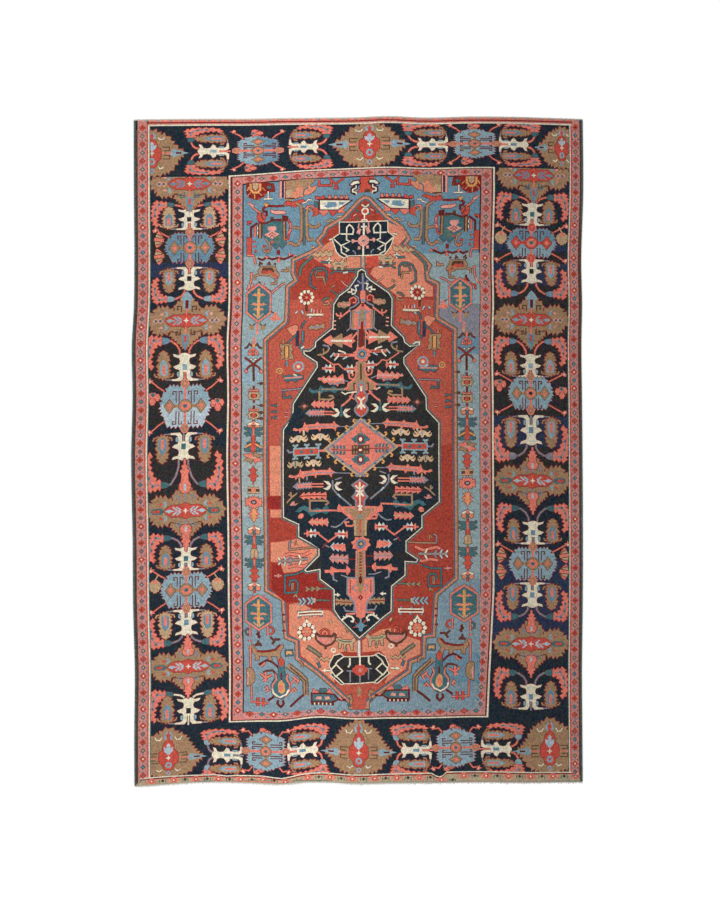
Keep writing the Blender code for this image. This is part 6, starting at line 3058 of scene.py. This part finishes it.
@dataclass
class KnottedPile:
    """The knotted carpet between the side cords and the end webs, with its pattern.

    Attributes:
        weave: bends it.
        size: the carpet's sizes.
        lip: how much of the rounding each ring of faces takes, outwards and downwards.
        swell: how far the pile's top waves up and down, in metres.
        calm: how near the edge the waves die down, in metres.
        puckers: where the lower end is pulled into a small fold, in knots, and how high it stands.
        fold: half a pucker's width and length, in metres.
    """

    weave: UnevenWeave
    size: RugSize = SIZE
    lip: tuple[Point, ...] = ((0.5, 0.14), (0.86, 0.5), (1.0, 1.0))
    swell: float = 0.0005
    calm: float = 0.05
    puckers: tuple[tuple[float, float, float], ...] = ((281, 777, 0.003), (438, 774, 0.004))
    fold: Point = (0.035, 0.07)

    DYE_LAYER = "dye"

    def on_carpet(self, point: Vector) -> Vector:
        """Where a point of the cartoon is on the straight carpet, in metres."""
        x, y = self.size.middle
        return Vector(((point.x - x) * self.size.knot, (y - point.y) * self.size.knot, 0))

    def height(self, place: Vector) -> float:
        """How high the pile's top is at a place of the straight carpet.

        Args:
            place: the place, in metres.

        Returns:
            The height, in metres.
        """
        half_x, half_y = self.size.pile_half
        margin = min(half_x - abs(place.x), half_y - abs(place.y))
        inside = min(max(margin / self.calm, 0), 1)
        wave = math.sin(5.1 * place.x + 2.3 * math.sin(1.7 * place.y))
        wave += math.sin(6.3 * place.y + 1.9 * math.sin(2.9 * place.x))
        rise = 0.0
        for x, y, top in self.puckers:
            middle = self.on_carpet(Vector((x, y)))
            away = math.hypot((place.x - middle.x) / self.fold[0], (place.y - middle.y) / self.fold[1])
            rise += top * math.exp(-away * away)
        return self.size.thickness + inside * self.swell * wave + rise

    def build(self, cartoon: Cartoon, material: bpy.types.Material) -> bpy.types.Object:
        """Makes the pile.

        Args:
            cartoon: its pattern.
            material: of its wool.

        Returns:
            The piece.
        """
        size = self.size
        inner = [half - size.rounding for half in size.pile_half]
        x, y = size.middle
        reach = [half / size.knot for half in inner]
        pattern = Pattern.of(cartoon, (x - reach[0], y - reach[1]), (x + reach[0], y + reach[1]))
        bm = bmesh.new()
        wool = bm.faces.layers.int.new("wool")
        names = list(Dye)
        verts = [bm.verts.new(self.on_carpet(point)) for point in pattern.points]
        for corners, dye in zip(pattern.faces, pattern.dyes):
            if len(set(corners)) == 3:
                face = bm.faces.new([verts[k] for k in reversed(corners)])
                face[wool] = names.index(dye)
        for vert in bm.verts:
            vert.co.z = self.height(vert.co)
        self.turn_down_rim(bm, inner)
        for vert in [vert for vert in bm.verts if not vert.link_faces]:
            bm.verts.remove(vert)
        linear = np.array([dye.linear for dye in Dye], dtype=np.float32)
        picked = np.array([face[wool] for face in bm.faces for _ in face.loops])
        piece = self.weave.finish("knotted_pile", bm, material, "carpet", "pile_wool")
        layer = piece.data.color_attributes.new(self.DYE_LAYER, "FLOAT_COLOR", "CORNER")
        layer.data.foreach_set("color", linear[picked].ravel())
        return piece

    def turn_down_rim(self, bm: bmesh.types.BMesh, inner: Sequence[float]) -> None:
        """Rounds the pile's edge over, down to the floor, and closes the underside.

        Args:
            bm: the top.
            inner: half the top's width and length.
        """
        rim = [edge for edge in bm.edges if edge.is_boundary]
        for out, down in (*self.lip, (1.0, None)):
            grown = bmesh.ops.extrude_edge_only(bm, edges=rim)["geom"]
            rim = [item for item in grown if isinstance(item, bmesh.types.BMEdge) and item.is_boundary]
            for vert in {vert for edge in rim for vert in edge.verts}:
                for axis in (0, 1):
                    if abs(vert.co[axis]) > inner[axis] - 1e-5:
                        reach = inner[axis] + self.size.rounding * out
                        vert.co[axis] = math.copysign(reach, vert.co[axis])
                if down is None:
                    vert.co.z = 0
                else:
                    vert.co.z = self.size.thickness - self.size.rounding * down
        bmesh.ops.edgeloop_fill(bm, edges=rim)
        bmesh.ops.recalc_face_normals(bm, faces=bm.faces)


@dataclass
class SideCord:
    """The wool wound over the outer warps along one side, turn by turn.

    Attributes:
        weave: bends it.
        size: the carpet's sizes.
        turn: from one turn of the yarn to the next, in metres.
        dent: how much thinner the cord is between two turns, as a share.
        slant: how far a turn runs along the cord while it crosses it, in metres.
        corners: of the cord's round section.
        bulge: how round the section is, from 0 for a square to 1 for an ellipse.
        lengths: of how many equal lengths the cord is put together.
    """

    weave: UnevenWeave
    size: RugSize = SIZE
    turn: float = 0.0036
    dent: float = 0.13
    slant: float = 0.0012
    corners: int = 10
    bulge: float = 0.8
    lengths: int = 40

    def build(
        self, name: str, side: int, node: str, material: bpy.types.Material
    ) -> bpy.types.Object:
        """Makes one cord.

        Args:
            name: of the piece.
            side: -1 on the left and 1 on the right.
            node: the CAD node that it stands for.
            material: of its wool.

        Returns:
            The piece.
        """
        size = self.size
        length = size.length - 2 * (size.web_width + size.gap)
        lengths = self.lengths
        steps = 2 * round(length / self.turn / lengths)
        bm = bmesh.new()
        bmesh.ops.create_circle(bm, cap_ends=False, segments=self.corners, radius=0.5)
        bmesh.ops.rotate(bm, verts=bm.verts, matrix=Matrix.Rotation(math.pi / 2, 3, "X"))
        for vert in bm.verts:
            vert.co.x = math.copysign(abs(2 * vert.co.x) ** self.bulge, vert.co.x) / 2
            vert.co.z = math.copysign(abs(2 * vert.co.z) ** self.bulge, vert.co.z) / 2
        bmesh.ops.spin(
            bm,
            geom=bm.edges[:],
            cent=(0, 0, 0),
            axis=(0, 1, 0),
            dvec=(0, length / steps / lengths, 0),
            angle=0,
            steps=steps,
            use_merge=False,
            use_duplicate=False,
        )
        one = bpy.data.meshes.new("one_length")
        bm.to_mesh(one)
        for _ in range(lengths - 1):
            one.transform(Matrix.Translation((0, length / lengths, 0)))
            bm.from_mesh(one)
        bpy.data.meshes.remove(one)
        bmesh.ops.remove_doubles(bm, verts=bm.verts, dist=0.0001)
        bmesh.ops.holes_fill(bm, edges=[edge for edge in bm.edges if edge.is_boundary])
        steps *= lengths
        for vert in bm.verts:
            ring = round(vert.co.y * steps / length)
            swell = 1 - self.dent * (ring % 2)
            lean = self.slant * 2 * vert.co.x if 0 < ring < steps else 0
            vert.co.z = size.cord_height * (0.5 + vert.co.z * swell)
            vert.co.x = side * (size.width - size.cord_width) / 2 + size.cord_width * vert.co.x * swell
            vert.co.y += lean - length / 2
        bmesh.ops.recalc_face_normals(bm, faces=bm.faces)
        piece = self.weave.finish(name, bm, material, node, "cord_wool")
        piece.data.shade_smooth()
        return piece


@dataclass
class FringedWeb:
    """The woven web across one end, with its worn loose warps.

    Attributes:
        weave: bends it.
        size: the carpet's sizes.
        yarns: how many loose warps.
        yarn: a warp's thickness, in metres.
        seed: of the warps' lengths.
        ribs: how many ribs and hollows the web has.
        dent: how much lower a hollow is, as a share.
        margin: from the carpet's side to the first warp, in metres.
        rooted: how far a warp reaches into the web, in metres.
        sway: how far a warp's tip may stand to one side, in metres.
    """

    weave: UnevenWeave
    size: RugSize = SIZE
    yarns: int = 620
    yarn: float = 0.0018
    seed: int = 23
    ribs: int = 480
    dent: float = 0.18
    margin: float = 0.003
    rooted: float = 0.001
    sway: float = 0.006

    def add_web(self, bm: bmesh.types.BMesh, end: int) -> None:
        """Adds the strip of plain weave, with low ribs that run the way of the warps.

        Args:
            bm: the mesh that it is added to.
            end: -1 at the lower end and 1 at the upper.
        """
        size = self.size
        made = bmesh.ops.create_grid(bm, x_segments=self.ribs, y_segments=3, size=0.5)
        bmesh.ops.scale(bm, verts=made["verts"], vec=(size.width, size.web_width, 1))
        place = Vector((0, end * (size.length - size.web_width) / 2, 0))
        bmesh.ops.translate(bm, verts=made["verts"], vec=place)
        raised = bmesh.ops.extrude_face_region(bm, geom=bm.faces[:])["geom"]
        for vert in (item for item in raised if isinstance(item, bmesh.types.BMVert)):
            hollow = round(vert.co.x / size.width * self.ribs) % 2
            vert.co.z = size.web_thickness * (1 - self.dent * hollow)

    def loose_warp(self) -> bpy.types.Mesh:
        """Makes one tapered warp, one long, that runs up from the origin along Y.

        Returns:
            The warp's mesh.
        """
        bm = bmesh.new()
        bmesh.ops.create_cone(
            bm, cap_ends=True, segments=5, radius1=self.yarn / 2, radius2=self.yarn * 0.3, depth=1
        )
        bmesh.ops.rotate(bm, verts=bm.verts, matrix=Matrix.Rotation(-math.pi / 2, 3, "X"))
        bmesh.ops.translate(bm, verts=bm.verts, vec=(0, 0.5, 0))
        for share in (0.35, 0.7):
            bmesh.ops.bisect_plane(
                bm, geom=bm.verts[:] + bm.edges[:] + bm.faces[:], plane_co=(0, share, 0), plane_no=(0, 1, 0)
            )
        for vert in bm.verts:
            vert.co.z += self.yarn * (0.6 - 0.25 * vert.co.y**2)
        warp = bpy.data.meshes.new("loose_warp")
        bm.to_mesh(warp)
        bm.free()
        return warp

    def build(
        self, name: str, end: int, reach: Point, node: str, material: bpy.types.Material
    ) -> bpy.types.Object:
        """Makes one end.

        Args:
            name: of the piece.
            end: -1 at the lower end and 1 at the upper.
            reach: the shortest and the longest warp's length.
            node: the CAD node that it stands for.
            material: of its yarn.

        Returns:
            The piece.
        """
        chance = random.Random(self.seed + end)
        bm = bmesh.new()
        self.add_web(bm, end)
        warp = self.loose_warp()
        step = (self.size.width - 2 * self.margin) / self.yarns
        for k in range(self.yarns):
            x = step * (k + 0.5 + chance.uniform(-0.3, 0.3)) - self.size.width / 2 + self.margin
            lean = Matrix.Identity(4)
            lean[0][1] = chance.uniform(-self.sway, self.sway)
            lean[1][1] = end * (chance.uniform(*reach) + self.rooted)
            lean.translation = (x, end * (self.size.length / 2 - self.rooted), 0)
            warp.transform(lean)
            bm.from_mesh(warp)
            warp.transform(lean.inverted())
        bpy.data.meshes.remove(warp)
        bmesh.ops.recalc_face_normals(bm, faces=bm.faces)
        return self.weave.finish(name, bm, material, node, "warp_yarn")


# ---------------------------------------------------------------- studio


@dataclass(frozen=True)
class Studio:
    """The plain pale floor, the lights and the camera straight above the carpet.

    Attributes:
        eye: the camera's height.
        lens: its focal length in millimetres, on a sensor of 36 along the picture's height.
        aim: the photo's middle, in knots of the cartoon.
        floor: the floor's half width.
        drop: how far the floor is below the carpet.
        paper: how bright the floor is.
        key: how strong the key light is.
        softness: its width in the sky, in degrees.
        sky: from the carpet towards the key light.
        room: how strong the room's light is.
    """

    # Height of the sensor in millimetres.
    SENSOR = 36

    eye: float = 13.354
    lens: float = 100
    aim: Point = (360.0, 450.0)
    floor: float = 60
    drop: float = 0.0002
    paper: float = 0.9
    key: float = 1.15
    softness: float = 14
    sky: tuple[float, float, float] = (-0.45, 0.55, 0.9)
    room: float = 0.9

    def lay_floor(self) -> None:
        """Lays a wide floor just under the carpet."""
        bm = bmesh.new()
        bmesh.ops.create_grid(bm, x_segments=4, y_segments=4, size=self.floor)
        bmesh.ops.translate(bm, verts=bm.verts, vec=(0, 0, -self.drop))
        mesh = bpy.data.meshes.new("floor")
        bm.to_mesh(mesh)
        bm.free()
        material = bpy.data.materials.new("pale_floor")
        material.use_nodes = True
        shader = material.node_tree.nodes["Principled BSDF"]
        shader.inputs["Base Color"].default_value = (self.paper, self.paper, self.paper, 1)
        shader.inputs["Roughness"].default_value = 1.0
        shader.inputs["Specular IOR Level"].default_value = 0
        mesh.materials.append(material)
        floor = bpy.data.objects.new("floor", mesh)
        bpy.context.scene.collection.objects.link(floor)

    def hang_lights(self) -> None:
        """Hangs a soft key light at the upper left and lets the room fill the rest."""
        key = bpy.data.lights.new("key", "SUN")
        key.energy = self.key
        key.angle = math.radians(self.softness)
        lamp = bpy.data.objects.new("key", key)
        lamp.rotation_euler = Vector(self.sky).to_track_quat("Z", "Y").to_euler()
        bpy.context.scene.collection.objects.link(lamp)
        world = bpy.data.worlds.new("room")
        world.use_nodes = True
        air = world.node_tree.nodes["Background"]
        air.inputs["Color"].default_value = (1, 1, 1, 1)
        air.inputs["Strength"].default_value = self.room
        bpy.context.scene.world = world

    def set_camera(self, size: RugSize, shift: Vector) -> None:
        """Sets the camera over the photo's middle.

        Args:
            size: the carpet's sizes.
            shift: where the carpet's middle is.
        """
        lens = bpy.data.cameras.new("camera")
        lens.lens = self.lens
        lens.sensor_width = self.SENSOR
        lens.clip_end = 100
        camera = bpy.data.objects.new("camera", lens)
        x = (self.aim[0] - size.middle[0]) * size.knot + shift.x
        y = (size.middle[1] - self.aim[1]) * size.knot + shift.y
        camera.location = (x, y, self.eye)
        bpy.context.scene.collection.objects.link(camera)
        bpy.context.scene.camera = camera
        bpy.context.scene.view_settings.view_transform = "Standard"


# ---------------------------------------------------------------- the whole carpet

PILE_WOOL = WoolCloth(
    name="pile_wool",
    colour=None,
    stitch=(SIZE.knot, SIZE.knot),
    jitter=0.42,
    streak=0.34,
    fade=0.2,
    relief=0.0016,
)
CORD_WOOL = WoolCloth(
    name="cord_wool",
    colour=(0.1, 0.135, 0.13),
    stitch=(0.05, 0.0036),
    jitter=0.5,
    streak=0.5,
    fade=0.6,
    relief=0.0006,
)
WARP_YARN = WoolCloth(
    name="warp_yarn",
    colour=(0.66, 0.6, 0.5),
    stitch=(0.002, 0.001),
    jitter=0.3,
    streak=0.2,
    fade=0.3,
    relief=0.0004,
)


def main() -> None:
    """Builds the carpet and its studio, in order."""
    logging.basicConfig(level=logging.INFO, format="%(message)s")
    cartoon = Cartoon()
    draw_cartoon(cartoon)
    log.info("cartoon: %d patches", len(cartoon.shapes))
    weave = UnevenWeave()
    pile = KnottedPile(weave).build(cartoon, PILE_WOOL.material())
    cord_wool, warp_yarn = CORD_WOOL.material(), WARP_YARN.material()
    trim = [
        SideCord(weave).build("wound_cord_left", -1, "side_cord_left", cord_wool),
        SideCord(weave).build("wound_cord_right", 1, "side_cord_right", cord_wool),
        FringedWeb(weave).build("warp_fringe_lower", -1, (0.002, 0.0105), "fringed_web_lower", warp_yarn),
        FringedWeb(weave).build("warp_fringe_upper", 1, (0.001, 0.0045), "fringed_web_upper", warp_yarn),
    ]
    for piece in (pile, *trim):
        triangles = sum(len(face.vertices) - 2 for face in piece.data.polygons)
        log.info("%s: %d triangles", piece.name, triangles)
    studio = Studio()
    studio.lay_floor()
    studio.hang_lights()
    studio.set_camera(SIZE, weave.shift)


if __name__ == "__main__":
    main()
